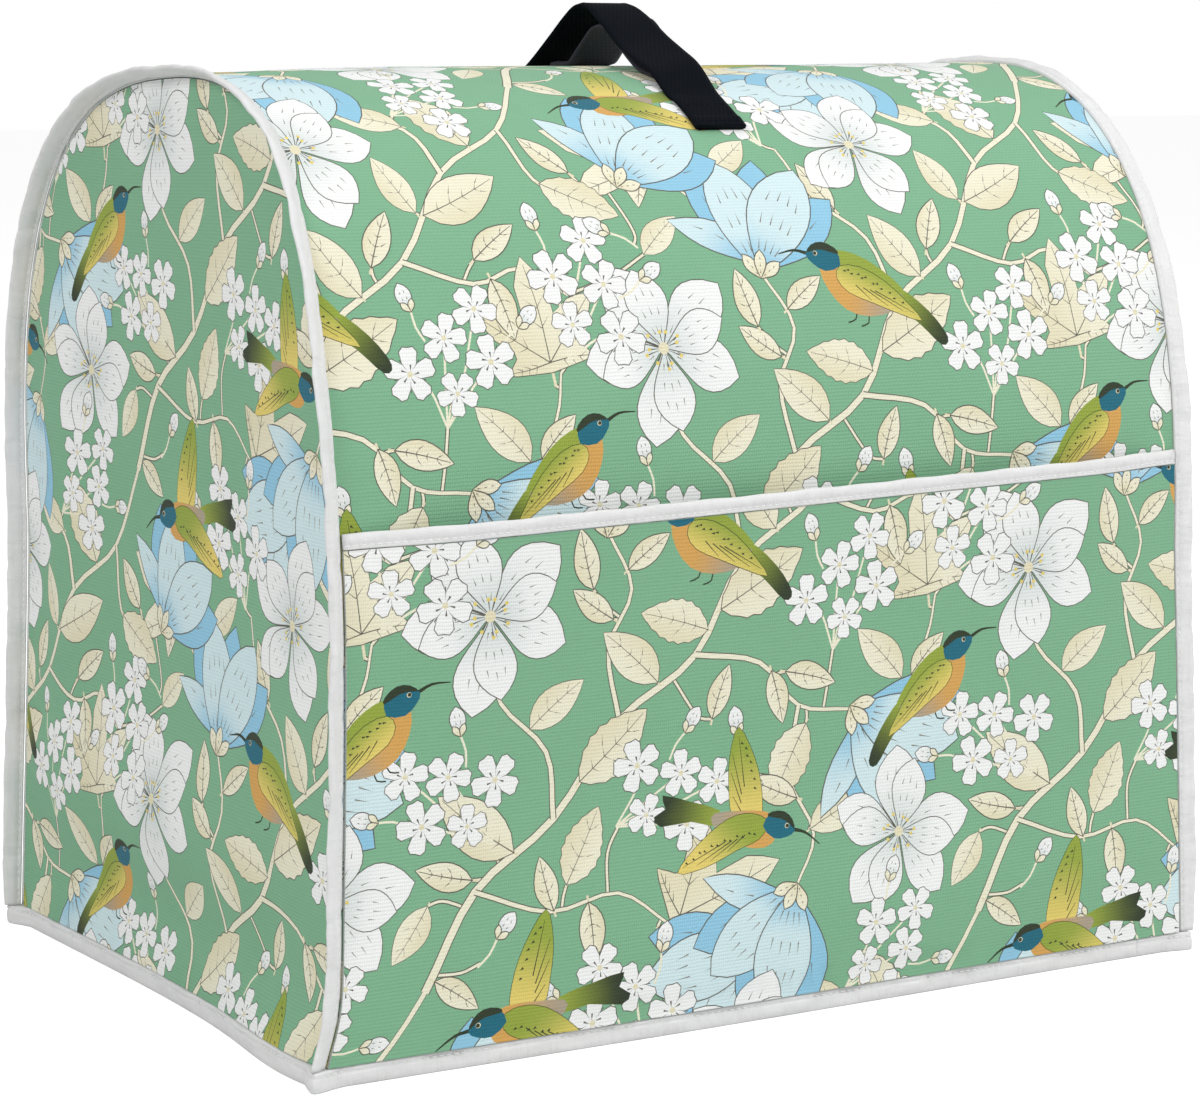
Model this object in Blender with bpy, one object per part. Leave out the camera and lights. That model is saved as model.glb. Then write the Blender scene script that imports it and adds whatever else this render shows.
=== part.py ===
"""A fitted cloth cover for a stand mixer, built from the pieces that a sewer would cut.

Metres, +Z up. The front faces -Y, the width runs along X, and the hem stands on z = 0. One band of
cloth runs up the front, over the top and down the back. An arch-shaped panel closes each end. White
binding covers the seams, the hem and the pocket's mouth, and black webbing makes the handle.
"""
import math
from typing import NamedTuple

import bmesh
import bpy
import numpy as np
from mathutils import Vector

# Driving sizes
WIDTH = 0.420
DEPTH = 0.310
HEIGHT = 0.399
CROWN_RISE = 0.214
CROWN_POWER = 2.6
FLARE_X = 0.0055
FLARE_Y = 0.0041
CLOTH = 0.0016
GAP = 0.0004
MIDDLE_X = -0.0023
MIDDLE_Y = -0.0016

# Height where the straight walls turn into the crown, and how finely the outline is stepped
SPRING = HEIGHT - CROWN_RISE
ARCH_STEPS = 1200
ARCH_STEP = 0.002

# Height by which the hem is free to slump
FLOOR_EASE = 0.040

# Bindings
TAPE = 0.0026
SEAM_REACH = 0.0090
SEAM_PINCH = 0.0052
PINCH_HEIGHT = 0.035
SEAM_ROOT = 0.00045
ROUND_INSET = 0.6
ROUND_HALF = 0.4
HEM_EAR = 0.0042
HEM_TALL = 0.0084
HEM_PROUD = 0.0008
HEM_BEVEL = 0.0007
HEM_CORNER_RUN = 0.011
HEM_CORNER_LEAD = 1.6
HEM_EAR_HALF = 0.7
HEM_INNER_RADIUS = 0.002
PANEL_FOOT = HEM_TALL + GAP

# Pocket
POCKET_LEFT = 0.2135
POCKET_RIGHT = 0.2230
POCKET_SLACK = 0.0090
POCKET_SEAM = 0.0012
POCKET_TAPE = 0.0064
POCKET_BEVEL = 0.0004
POCKET_BACK = 0.4
POCKET_EASE_X = 0.055
POCKET_FALL = 0.45
POCKET_BUNCHING = 0.11
POCKET_ROW_POWER = 1.3

# Handle webbing
WEBBING_WIDE = 0.0254
WEBBING_THICK = 0.0017
WEBBING_LIP = 0.7

# Mesh density
BAND_COLUMNS = 14
WALL_ROWS = 5
CROWN_ROWS = 36
SIDE_COLUMNS = 10
POCKET_COLUMNS = 16
POCKET_ROWS = 8
HEM_RUN_X = 14
HEM_RUN_Y = 10


class Push(NamedTuple):
    """A soft bump or hollow: its centre, its reach along each axis and how far it moves the cloth."""

    centre: tuple
    reach: tuple
    move: tuple


class Lean(NamedTuple):
    """How far a seam's binding leans out of the front or back face at one place along the arch."""

    along: float
    degrees: float


class Knot(NamedTuple):
    """One place on the handle's route: depth, height above the floor, sideways place and roll."""

    y: float
    z: float
    x: float
    roll: float


PUSHES = (
    Push(centre=(-0.222, -0.136, 0.000), reach=(0.040, 0.056, 0.022), move=(-0.0100, 0.0, 0.0)),
    Push(centre=(-0.216, -0.080, 0.000), reach=(0.040, 0.070, 0.060), move=(-0.0025, 0.0, 0.0)),
    Push(centre=(-0.060, -0.160, 0.000), reach=(0.170, 0.050, 0.045), move=(0.0, -0.0030, 0.0)),
    Push(centre=(-0.212, -0.150, 0.275), reach=(0.070, 0.060, 0.080), move=(-0.0026, 0.0010, 0.0)),
    Push(centre=(-0.212, 0.060, 0.395), reach=(0.060, 0.080, 0.070), move=(0.0, 0.0, -0.0048)),
    Push(centre=(-0.212, 0.150, 0.300), reach=(0.080, 0.080, 0.100), move=(-0.0010, 0.0034, 0.0)),
    Push(centre=(-0.212, -0.100, 0.375), reach=(0.090, 0.045, 0.045), move=(0.0, -0.0025, 0.0020)),
    Push(centre=(0.212, -0.040, 0.399), reach=(0.120, 0.060, 0.050), move=(0.0, 0.0, 0.0016)),
    Push(centre=(0.215, -0.155, 0.080), reach=(0.060, 0.100, 0.160), move=(0.0016, 0.0, 0.0)),
    Push(centre=(-0.205, 0.020, 0.160), reach=(0.060, 0.100, 0.110), move=(0.0022, 0.0, 0.0)),
    Push(centre=(0.205, 0.020, 0.170), reach=(0.060, 0.090, 0.120), move=(-0.0020, 0.0, 0.0)),
    Push(centre=(0.040, -0.155, 0.120), reach=(0.120, 0.060, 0.070), move=(0.0, -0.0014, 0.0)),
    Push(centre=(0.020, 0.155, 0.160), reach=(0.130, 0.060, 0.110), move=(0.0, -0.0026, 0.0)),
)
LEFT_LEANS = (Lean(-0.44, 30.0), Lean(-0.28, 36.0), Lean(-0.14, 38.0), Lean(0.0, 16.0), Lean(0.12, 18.0),
              Lean(0.22, 22.0), Lean(0.44, 24.0))
RIGHT_LEANS = (Lean(-0.44, 8.0), Lean(-0.28, 12.0), Lean(-0.18, 0.0), Lean(-0.12, -4.0), Lean(0.0, 14.0),
               Lean(0.14, 16.0), Lean(0.44, 22.0))

HANDLE_KNOTS = (
    Knot(y=-0.0730, z=0.3884, x=0.0040, roll=4.0),
    Knot(y=-0.0600, z=0.3985, x=0.0040, roll=8.0),
    Knot(y=-0.0460, z=0.4048, x=0.0040, roll=10.0),
    Knot(y=-0.0340, z=0.4100, x=0.0042, roll=11.0),
    Knot(y=-0.0190, z=0.4188, x=0.0044, roll=6.0),
    Knot(y=-0.0060, z=0.4252, x=0.0044, roll=0.0),
    Knot(y=0.0030, z=0.4256, x=0.0042, roll=0.0),
    Knot(y=0.0120, z=0.4208, x=0.0040, roll=0.0),
    Knot(y=0.0260, z=0.4112, x=0.0040, roll=0.0),
    Knot(y=0.0400, z=0.4018, x=0.0040, roll=0.0),
    Knot(y=0.0500, z=0.3962, x=0.0040, roll=0.0),
)
INNER_KNOTS = (
    Knot(y=-0.0400, z=0.3985, x=0.0095, roll=0.0),
    Knot(y=-0.0320, z=0.4040, x=0.0095, roll=4.0),
    Knot(y=-0.0230, z=0.4112, x=0.0095, roll=8.0),
    Knot(y=-0.0130, z=0.4176, x=0.0095, roll=9.0),
    Knot(y=-0.0030, z=0.4172, x=0.0095, roll=6.0),
    Knot(y=0.0060, z=0.4102, x=0.0095, roll=3.0),
    Knot(y=0.0130, z=0.4040, x=0.0095, roll=0.0),
    Knot(y=0.0180, z=0.4003, x=0.0095, roll=0.0),
)
HANDLE_TAB = 0.0230
INNER_TAB = 0.0150
TAB_BLEND = 0.0060
WEBBING_STEP = 0.0045

CLOTH_GREEN = (0.227, 0.479, 0.305)
BINDING_WHITE = (0.84, 0.84, 0.85)
WEBBING_BLACK = (0.012, 0.012, 0.016)


def arch_curve():
    """Side outline from the front hem over the top to the back hem, as y, z and length from the top."""
    turn = np.linspace(0.0, math.pi, ARCH_STEPS)
    power = 2.0 / CROWN_POWER
    y = -DEPTH / 2 * np.sign(np.cos(turn)) * np.abs(np.cos(turn)) ** power
    z = SPRING + CROWN_RISE * np.clip(np.sin(turn), 0.0, 1.0) ** power
    y = np.concatenate(([-DEPTH / 2], y, [DEPTH / 2]))
    z = np.concatenate(([0.0], z, [0.0]))
    length = np.concatenate(([0.0], np.cumsum(np.hypot(np.diff(y), np.diff(z)))))
    return y, z, length - length[-1] / 2


ARCH_Y, ARCH_Z, ARCH_S = arch_curve()


def front_along(z):
    """Place along the arch where its front stands at height z."""
    front = ARCH_S <= 0.0
    return np.interp(z, ARCH_Z[front], ARCH_S[front])


def front_along_y(y):
    """Place along the arch where its top lies at depth y."""
    return np.interp(y, ARCH_Y[1:-1], ARCH_S[1:-1])


def arch_point(along, out):
    """The outline's y and z at a place along it, moved out from the cloth's outer face."""
    y = np.interp(along, ARCH_S, ARCH_Y)
    z = np.interp(along, ARCH_S, ARCH_Z)
    ahead, behind = along + ARCH_STEP, along - ARCH_STEP
    run_y = np.interp(ahead, ARCH_S, ARCH_Y) - np.interp(behind, ARCH_S, ARCH_Y)
    run_z = np.interp(ahead, ARCH_S, ARCH_Z) - np.interp(behind, ARCH_S, ARCH_Z)
    run = np.hypot(run_y, run_z)
    return y - run_z / run * out, z + run_y / run * out


def arch_stations():
    """The places along the arch where the band, the end panels and their binding all have a row."""
    start = front_along(PANEL_FOOT)
    spring = front_along(SPRING)
    wall = np.linspace(start, spring, WALL_ROWS + 1)
    crown = np.linspace(spring, -spring, CROWN_ROWS + 1)
    return np.concatenate((wall[:-1], crown, -wall[-2::-1]))


def arch_normal(along):
    """Outward direction of the arch at a place along it, as y and z parts."""
    near = arch_point(along, 0.0)
    far = arch_point(along, 1.0)
    return far[0] - near[0], far[1] - near[1]


def flared(side, aside, y, z):
    """A point before it settles: side is -1 to 1 across the width, aside is added to it in metres."""
    low = np.clip(1.0 - z / SPRING, 0.0, 1.0)
    x = side * (WIDTH / 2 + FLARE_X * low) + aside
    return x, y + np.clip(y / (DEPTH / 2), -1.0, 1.0) * FLARE_Y * low, z


def settle(x, y, z):
    """Moves points as the soft cloth slumps and bulges, and leaves the floor flat."""
    moved = [np.array(x, float), np.array(y, float), np.array(z, float)]
    floor_ease = np.clip(np.asarray(z, float) / FLOOR_EASE, 0.0, 1.0)
    for push in PUSHES:
        far = sum(((value - middle) / reach) ** 2
                  for value, middle, reach in zip((x, y, z), push.centre, push.reach))
        weight = np.exp(-far)
        moved[0] = moved[0] + weight * push.move[0]
        moved[1] = moved[1] + weight * push.move[1]
        moved[2] = moved[2] + weight * push.move[2] * floor_ease
    return np.stack((moved[0] - MIDDLE_X, moved[1] - MIDDLE_Y, moved[2]), axis=-1)


def shell(side, along, out, aside=0.0):
    """Settled points on or off the band: side across it, along the arch, out from its outer face."""
    y, z = arch_point(along, out)
    return settle(*flared(side, aside, y, z))


def clear_scene():
    """Removes every object that the file starts with."""
    for thing in list(bpy.data.objects):
        bpy.data.objects.remove(thing, do_unlink=True)


def material(name, colour, roughness):
    """A plain material of one colour."""
    made = bpy.data.materials.new(name)
    made.use_nodes = True
    shader = made.node_tree.nodes["Principled BSDF"]
    shader.inputs["Base Color"].default_value = (*colour, 1.0)
    shader.inputs["Roughness"].default_value = roughness
    shader.inputs["Metallic"].default_value = 0.0
    return made


def node(name, points, faces, look, sharp_degrees=40.0):
    """Makes one named solid with its faces turned outwards and its round parts shaded smooth."""
    mesh = bpy.data.meshes.new(name)
    mesh.from_pydata([Vector(point) for point in points], [], faces)
    work = bmesh.new()
    work.from_mesh(mesh)
    bmesh.ops.recalc_face_normals(work, faces=work.faces)
    if work.calc_volume(signed=True) < 0:
        bmesh.ops.reverse_faces(work, faces=work.faces)
    work.to_mesh(mesh)
    work.free()
    mesh.shade_smooth()
    mesh.set_sharp_from_angle(angle=math.radians(sharp_degrees))
    mesh.materials.append(look)
    made = bpy.data.objects.new(name, mesh)
    bpy.context.scene.collection.objects.link(made)
    return made


def sheet_solid(outer, inner):
    """Points and faces of a sheet between two grids of the same shape, closed at its four edges."""
    rows, columns = outer.shape[:2]
    points = [tuple(point) for grid in (outer, inner) for row in grid for point in row]

    def at(layer, row, column):
        return layer * rows * columns + row * columns + column

    faces = []
    for row in range(rows - 1):
        for column in range(columns - 1):
            ring = [(row, column), (row, column + 1), (row + 1, column + 1), (row + 1, column)]
            faces.append([at(0, *place) for place in ring])
            faces.append([at(1, *place) for place in reversed(ring)])
    rim = [(0, column) for column in range(columns)]
    rim += [(row, columns - 1) for row in range(1, rows)]
    rim += [(rows - 1, column) for column in range(columns - 2, -1, -1)]
    rim += [(row, 0) for row in range(rows - 2, 0, -1)]
    for here, there in zip(rim, rim[1:] + rim[:1]):
        faces.append([at(0, *there), at(0, *here), at(1, *here), at(1, *there)])
    return points, faces


def swept_solid(sections, closed=False):
    """Points and faces of a strip that runs through a list of sections of equal count."""
    count = len(sections[0])
    points = [tuple(point) for section in sections for point in section]
    faces = []
    last = len(sections) if closed else len(sections) - 1
    for row in range(last):
        here = row * count
        there = (row + 1) % len(sections) * count
        for step in range(count):
            after = (step + 1) % count
            faces.append([here + step, here + after, there + after, there + step])
    if not closed:
        faces.append(list(range(count)))
        faces.append(list(range(len(points) - count, len(points)))[::-1])
    return points, faces


def main_band(look):
    """The long strip of cloth that makes the front, the top and the back."""
    side, along = np.meshgrid(np.linspace(-1.0, 1.0, BAND_COLUMNS + 1), arch_stations())
    return node("main_band", *sheet_solid(shell(side, along, 0.0), shell(side, along, -CLOTH)), look)


def side_panel(name, side, look):
    """An arch-shaped end panel, cut a little smaller than the band that is sewn round it."""
    stations = arch_stations()
    along = stations[:len(stations) // 2]
    front_y, front_z = arch_point(along, -CLOTH - GAP)
    back_y, _ = arch_point(-along, -CLOTH - GAP)
    depthwise = np.linspace(0.0, 1.0, SIDE_COLUMNS + 1)
    y = front_y[:, None] * (1.0 - depthwise) + back_y[:, None] * depthwise
    z = np.tile(front_z[:, None], SIDE_COLUMNS + 1)
    outer = settle(*flared(side, 0.0, y, z))
    inner = settle(*flared(side, -side * CLOTH, y, z))
    return node(name, *sheet_solid(outer, inner), look)


def lean_at(leans, along):
    """A seam's lean in radians, eased between the places that its table names."""
    return np.radians(np.interp(along, [lean.along for lean in leans], [lean.degrees for lean in leans]))


def seam_section(side, along, leans):
    """Corner points of a seam's binding where it crosses one place along the arch."""
    lean = lean_at(leans, along)
    y, z = arch_point(along, 0.0)
    out_y, out_z = arch_normal(along)
    pinch = np.clip(1.0 - z / PINCH_HEIGHT, 0.0, 1.0)
    reach = SEAM_REACH + (SEAM_PINCH - SEAM_REACH) * pinch
    half = TAPE / 2
    inset, flat = half * ROUND_INSET, half * ROUND_HALF
    outline = ((0.0, -half), (reach / 2, -half), (reach - inset, -half), (reach, -flat),
               (reach, flat), (reach - inset, half), (reach / 2, half), (0.0, half))
    section = []
    for run, rise in outline:
        aside = (SEAM_ROOT + run) * math.cos(lean) - rise * math.sin(lean)
        out = (SEAM_ROOT + run) * math.sin(lean) + rise * math.cos(lean)
        section.append(settle(*flared(side, side * aside, y + out_y * out, z + out_z * out)))
    return section


def seam_binding(name, side, leans, look):
    """The white tape folded over an arch seam, which stands out from the corner."""
    return node(name, *swept_solid([seam_section(side, place, leans) for place in arch_stations()]), look)


def corner_curve(corner_x, corner_y, lean, reach, run):
    """Outer plan of the hem at a corner, round the end of the seam's binding, from the side run on."""
    side, face = math.copysign(1.0, corner_x), math.copysign(1.0, corner_y)
    tip = Vector((side * math.cos(lean), face * math.sin(lean)))
    along_tip = Vector((-tip.y, tip.x)) * (side * face)
    corner = Vector((corner_x, corner_y))
    half = along_tip * TAPE * HEM_EAR_HALF
    lead = run * HEM_CORNER_LEAD
    knots = (corner - Vector((0.0, face * lead)), corner - Vector((0.0, face * run)),
             corner + tip * reach - half, corner + tip * reach + half,
             corner - Vector((side * run, 0.0)), corner - Vector((side * lead, 0.0)))
    return [smooth_point(knots[0:4], 0.5), knots[2].copy(), smooth_point(knots[1:5], 0.5), knots[3].copy(),
            smooth_point(knots[2:6], 0.5)]


def smooth_point(knots, part):
    """A point between the middle two of four knots, on the smooth curve through them."""
    before, start, end, after = knots
    slope_in, slope_out = (end - before) / 2, (after - start) / 2
    square, cube = part ** 2, part ** 3
    return (start * (2 * cube - 3 * square + 1) + slope_in * (cube - 2 * square + part)
            + end * (3 * square - 2 * cube) + slope_out * (cube - square))


def hem_plan():
    """Outer and inner plan of the hem's binding, as pairs of points in order round the cover."""
    half_x = WIDTH / 2 + FLARE_X
    half_y = DEPTH / 2 + FLARE_Y
    run = HEM_CORNER_RUN
    thick = CLOTH + 2 * HEM_PROUD
    pairs = []

    def straight(start, end, count, inward):
        for step in range(count + 1):
            outer = start.lerp(end, step / count)
            pairs.append((outer, outer + inward * thick))

    def corner(side, face, lean, backwards):
        x, y = side * (half_x + HEM_PROUD), face * (half_y + HEM_PROUD)
        outer = corner_curve(x, y, lean, HEM_EAR, run)
        if backwards:
            outer.reverse()
        inset = thick + HEM_INNER_RADIUS
        centre = Vector((x - side * inset, y - face * inset))
        for step, place in enumerate(outer):
            turn = math.pi / 2 * (step + 1) / (len(outer) + 1)
            if backwards:
                turn = math.pi / 2 - turn
            inner = Vector((side * math.cos(turn), face * math.sin(turn))) * HEM_INNER_RADIUS
            pairs.append((place, centre + inner))

    reach_x, reach_y = half_x + HEM_PROUD, half_y + HEM_PROUD
    leans = [math.radians(value) for value in (LEFT_LEANS[0].degrees, RIGHT_LEANS[0].degrees,
                                               RIGHT_LEANS[-1].degrees, LEFT_LEANS[-1].degrees)]
    straight(Vector((-reach_x + run, -reach_y)), Vector((reach_x - run, -reach_y)), HEM_RUN_X, Vector((0, 1)))
    corner(1, -1, leans[1], True)
    straight(Vector((reach_x, -reach_y + run)), Vector((reach_x, reach_y - run)), HEM_RUN_Y, Vector((-1, 0)))
    corner(1, 1, leans[2], False)
    straight(Vector((reach_x - run, reach_y)), Vector((-reach_x + run, reach_y)), HEM_RUN_X, Vector((0, -1)))
    corner(-1, 1, leans[3], True)
    straight(Vector((-reach_x, reach_y - run)), Vector((-reach_x, -reach_y + run)), HEM_RUN_Y, Vector((1, 0)))
    corner(-1, -1, leans[0], False)
    return pairs


def hem_binding(look):
    """The white tape folded over the hem all the way round, on which the cover stands."""
    sections = []
    for outer, inner in hem_plan():
        inward = (inner - outer).normalized() * HEM_BEVEL
        places = ((outer, 0.0), (outer, HEM_TALL - HEM_BEVEL), (outer + inward, HEM_TALL),
                  (inner - inward, HEM_TALL), (inner, HEM_TALL - HEM_BEVEL), (inner, 0.0))
        sections.append([settle(place.x, place.y, height) for place, height in places])
    return node("hem_binding", *swept_solid(sections, closed=True), look)


def ease(part):
    """Soft step from 0 to 1."""
    part = np.clip(part, 0.0, 1.0)
    return part * part * (3.0 - 2.0 * part)


def pocket_slack(side, z):
    """How far the pocket stands off the front, which leaves it open in its middle."""
    from_seam = (1.0 - np.abs(side)) * WIDTH / 2
    share = np.clip((z - HEM_TALL) / (POCKET_RIGHT - HEM_TALL), 0.0, 1.05)
    return POCKET_SLACK * ease(from_seam / POCKET_EASE_X) * share ** POCKET_FALL


def pocket_top(side):
    """Height of the pocket cloth's upper edge, which slants up to the right."""
    return POCKET_LEFT + (POCKET_RIGHT - POCKET_LEFT) * (side + 1.0) / 2


def pocket_grid(side, z, out):
    """Points of the pocket at a height, a distance out from its inner face."""
    return shell(side, front_along(z), GAP + pocket_slack(side, z) + out)


def pocket_sides():
    """Places across the pocket between the side seams, closer together where it leaves the front."""
    reach = 1.0 - POCKET_SEAM / (WIDTH / 2)
    even = np.linspace(-1.0, 1.0, POCKET_COLUMNS + 1)
    return reach * (even + POCKET_BUNCHING * np.sin(math.pi * even))


def pocket(look):
    """The flat pocket that is sewn into the side seams and the hem and covers the front's lower half."""
    side = np.tile(pocket_sides(), (POCKET_ROWS + 1, 1))
    share = np.linspace(0.0, 1.0, POCKET_ROWS + 1)[:, None] ** POCKET_ROW_POWER
    z = PANEL_FOOT + (pocket_top(side) - PANEL_FOOT) * share
    return node("pocket", *sheet_solid(pocket_grid(side, z, CLOTH), pocket_grid(side, z, 0.0)), look)


def pocket_binding(look):
    """The white tape along the pocket's mouth."""
    proud = (TAPE - CLOTH) / 2
    back = -proud * POCKET_BACK
    sections = []
    for side in pocket_sides():
        foot = pocket_top(side) + GAP
        head = foot + POCKET_TAPE
        shoulder = head - POCKET_BEVEL
        outline = ((CLOTH + proud, foot), (CLOTH + proud, shoulder), (CLOTH, head),
                   (0.0, head), (back, shoulder), (back, foot))
        sections.append([pocket_grid(side, height, out) for out, height in outline])
    return node("pocket_binding", *swept_solid(sections), look)


def tab_knots(y_start, y_end, x, lift, count=3):
    """Knots of a sewn-down end, which follow the top of the cover at a height above the cloth."""
    knots = []
    for step in range(count):
        place = y_start + (y_end - y_start) * step / (count - 1)
        y, z = arch_point(front_along_y(place), lift)
        knots.append(Knot(float(y), float(z), x, 0.0))
    return knots


def webbing_route(knots, tab, lift):
    """The whole route of a strap: a sewn end, the loop and the other sewn end."""
    first, last = knots[0], knots[-1]
    front = tab_knots(first.y - tab, first.y - TAB_BLEND, first.x, lift)
    back = tab_knots(last.y + TAB_BLEND, last.y + tab, last.x, lift)
    return front + list(knots) + back


def webbing_section(place, ahead, behind):
    """Corner points of the strap's section at one place, square to its route."""
    run = Vector((0.0, ahead[0] - behind[0], ahead[1] - behind[1])).normalized()
    roll = math.radians(place[3])
    wide = Vector((math.cos(roll), 0.0, math.sin(roll)))
    up = wide.cross(run).normalized()
    centre = Vector((place[2], place[0], place[1]))
    half_wide, half_thick = WEBBING_WIDE / 2, WEBBING_THICK / 2
    lip = half_thick * WEBBING_LIP
    side, face = half_wide - lip, half_thick - lip
    outline = ((-half_wide, -face), (-side, -half_thick), (side, -half_thick), (half_wide, -face),
               (half_wide, face), (side, half_thick), (-side, half_thick), (-half_wide, face))
    corners = [centre + wide * across + up * rise for across, rise in outline]
    return [settle(corner.x, corner.y, corner.z) for corner in corners]


def webbing(name, knots, tab, look):
    """A strap of webbing that is sewn down at both ends and stands up in a loop between them."""
    lift = GAP + WEBBING_THICK / 2
    route = [Vector((knot.y, knot.z, knot.x, knot.roll)) for knot in webbing_route(knots, tab, lift)]
    ends = [route[0] * 2 - route[1]] + route + [route[-1] * 2 - route[-2]]
    places = []
    for start in range(1, len(ends) - 2):
        span = (ends[start + 1] - ends[start]).xy.length
        pieces = max(2, round(span / WEBBING_STEP))
        places += [smooth_point(ends[start - 1:start + 3], step / pieces) for step in range(pieces)]
    places.append(route[-1])
    count = len(places)
    sections = [webbing_section(places[index], places[min(index + 1, count - 1)], places[max(index - 1, 0)])
                for index in range(count)]
    return node(name, *swept_solid(sections), look)


def build():
    """Makes every piece of the cover."""
    clear_scene()
    cloth = material("printed_cloth", CLOTH_GREEN, 0.85)
    tape = material("white_binding", BINDING_WHITE, 0.75)
    strap = material("black_webbing", WEBBING_BLACK, 0.60)
    main_band(cloth)
    side_panel("side_left", -1.0, cloth)
    side_panel("side_right", 1.0, cloth)
    seam_binding("seam_binding_left", -1.0, LEFT_LEANS, tape)
    seam_binding("seam_binding_right", 1.0, RIGHT_LEANS, tape)
    hem_binding(tape)
    pocket(cloth)
    pocket_binding(tape)
    webbing("handle", HANDLE_KNOTS, HANDLE_TAB, strap)
    webbing("handle_inner", INNER_KNOTS, INNER_TAB, strap)


build()
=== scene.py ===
"""The looks of a fitted cloth cover for a stand mixer: printed cloth, white binding and black webbing.

Metres, +Z up, the front facing -Y. The print is drawn flat, in millimetres, as patches of ink laid over
each other. Each panel is cut from that drawing and bent to the shape in which it hangs.
"""
import logging
import math
from dataclasses import dataclass, field, replace
from enum import Enum
from typing import Callable, NamedTuple, Optional, Sequence

import bmesh
import bpy
import numpy as np
from bpy.types import Material, Mesh, Node, NodeSocket, NodeTree, Object
from mathutils import Matrix, Vector
from mathutils.bvhtree import BVHTree
from mathutils.geometry import delaunay_2d_cdt

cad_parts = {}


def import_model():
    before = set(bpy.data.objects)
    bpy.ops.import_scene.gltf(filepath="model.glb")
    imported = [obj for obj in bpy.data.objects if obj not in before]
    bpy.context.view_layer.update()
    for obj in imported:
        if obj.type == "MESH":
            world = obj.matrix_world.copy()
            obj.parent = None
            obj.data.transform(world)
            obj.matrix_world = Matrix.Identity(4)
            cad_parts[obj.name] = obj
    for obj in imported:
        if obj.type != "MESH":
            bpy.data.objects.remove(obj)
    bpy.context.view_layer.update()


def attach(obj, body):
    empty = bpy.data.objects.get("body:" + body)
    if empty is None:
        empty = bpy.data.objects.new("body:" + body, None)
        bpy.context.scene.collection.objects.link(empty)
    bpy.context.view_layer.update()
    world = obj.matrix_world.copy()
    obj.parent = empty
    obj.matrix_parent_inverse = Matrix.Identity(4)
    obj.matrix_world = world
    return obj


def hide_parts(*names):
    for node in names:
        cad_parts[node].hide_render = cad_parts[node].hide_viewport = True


LOG = logging.getLogger("mixer_cover")
BODY = "root"
MM = 0.001
BAKE_MAP = "OFBake"
THREAD_MAP = "Threads"
PRINT_LAYER = "Print"
Array = np.ndarray


class Ink(Enum):
    """The inks of the print, as display red, green and blue."""

    GROUND = (125, 177, 141)
    LINE = (92, 90, 80)
    FINE = (122, 118, 104)
    WHITE = (241, 242, 241)
    WHITE_SHADE = (214, 222, 220)
    CREAM = (236, 232, 208)
    CREAM_SHADE = (226, 219, 187)
    PALE_BLUE = (208, 230, 234)
    MID_BLUE = (144, 198, 224)
    TEAL = (22, 104, 124)
    OLIVE = (146, 164, 62)
    YELLOW = (228, 206, 112)
    TAN = (212, 162, 86)
    GREY = (170, 158, 138)
    DARK = (44, 56, 36)

    @property
    def linear(self) -> Array:
        """The ink as linear red, green and blue."""
        share = np.array(self.value, float) / 255.0
        return np.where(share <= 0.04045, share / 12.92, ((share + 0.055) / 1.055) ** 2.4)


@dataclass
class Patch:
    """One flat area of ink, which may run from one ink into another along a line."""

    outline: Array
    ink: Ink
    fade: Ink
    start: Array
    end: Array

    def moved(self, turn: Array, at: Array) -> "Patch":
        """The same patch, turned and then carried to a place."""
        outline, start, end = (places @ turn.T + at for places in (self.outline, self.start, self.end))
        return Patch(counterclockwise(outline), self.ink, self.fade, start, end)


def through(knots: Sequence, steps: int = 4, closed: bool = False) -> Array:
    """A smooth line through a few knots.

    Args:
        knots: The places that the line passes through.
        steps: How many points each stretch between two knots has.
        closed: Whether the line comes back to its first knot.

    Returns:
        The line's points, one row each.
    """
    knots = np.asarray(knots, float)
    if closed:
        around = np.vstack((knots[-1], knots, knots[0], knots[1]))
    else:
        around = np.vstack((2 * knots[0] - knots[1], knots, 2 * knots[-1] - knots[-2]))
    before, start, end, after = around[:-3], around[1:-2], around[2:-1], around[3:]
    part = np.linspace(0.0, 1.0, steps, endpoint=False)[None, :, None]
    before, start, end, after = (rows[:, None, :] for rows in (before, start, end, after))
    line = 0.5 * (2 * start + (end - before) * part
                  + (2 * before - 5 * start + 4 * end - after) * part ** 2
                  + (3 * start - before - 3 * end + after) * part ** 3).reshape(-1, knots.shape[1])
    return line if closed else np.vstack((line, knots[-1]))


def sideways(line: Array, closed: bool = False) -> Array:
    """Unit vectors square to a flat line at each of its points, on its left.

    Args:
        line: The line's points.
        closed: Whether it comes back to its first point.

    Returns:
        One vector for each point.
    """
    if closed:
        run = np.roll(line, -1, axis=0) - np.roll(line, 1, axis=0)
    else:
        run = np.gradient(line, axis=0)
    run = run / np.maximum(np.linalg.norm(run, axis=1, keepdims=True), 1e-9)
    return np.stack((-run[:, 1], run[:, 0]), axis=1)


def counterclockwise(outline: Array) -> Array:
    """The same closed outline, running counterclockwise."""
    (x, y), (next_x, next_y) = outline.T, np.roll(outline, -1, axis=0).T
    return outline if np.sum(x * next_y - next_x * y) > 0 else outline[::-1]


def grown(outline: Array, by: float) -> Array:
    """A counterclockwise outline, made larger all round by a distance."""
    return outline - sideways(outline, closed=True) * by


def turned(degrees: float, size: float = 1.0, flip: bool = False) -> Array:
    """The matrix that scales a drawing, mirrors it if asked, and turns it counterclockwise."""
    cos, sin = math.cos(math.radians(degrees)), math.sin(math.radians(degrees))
    return np.array(((cos, -sin), (sin, cos))) @ np.diag((-size if flip else size, size))


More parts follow.
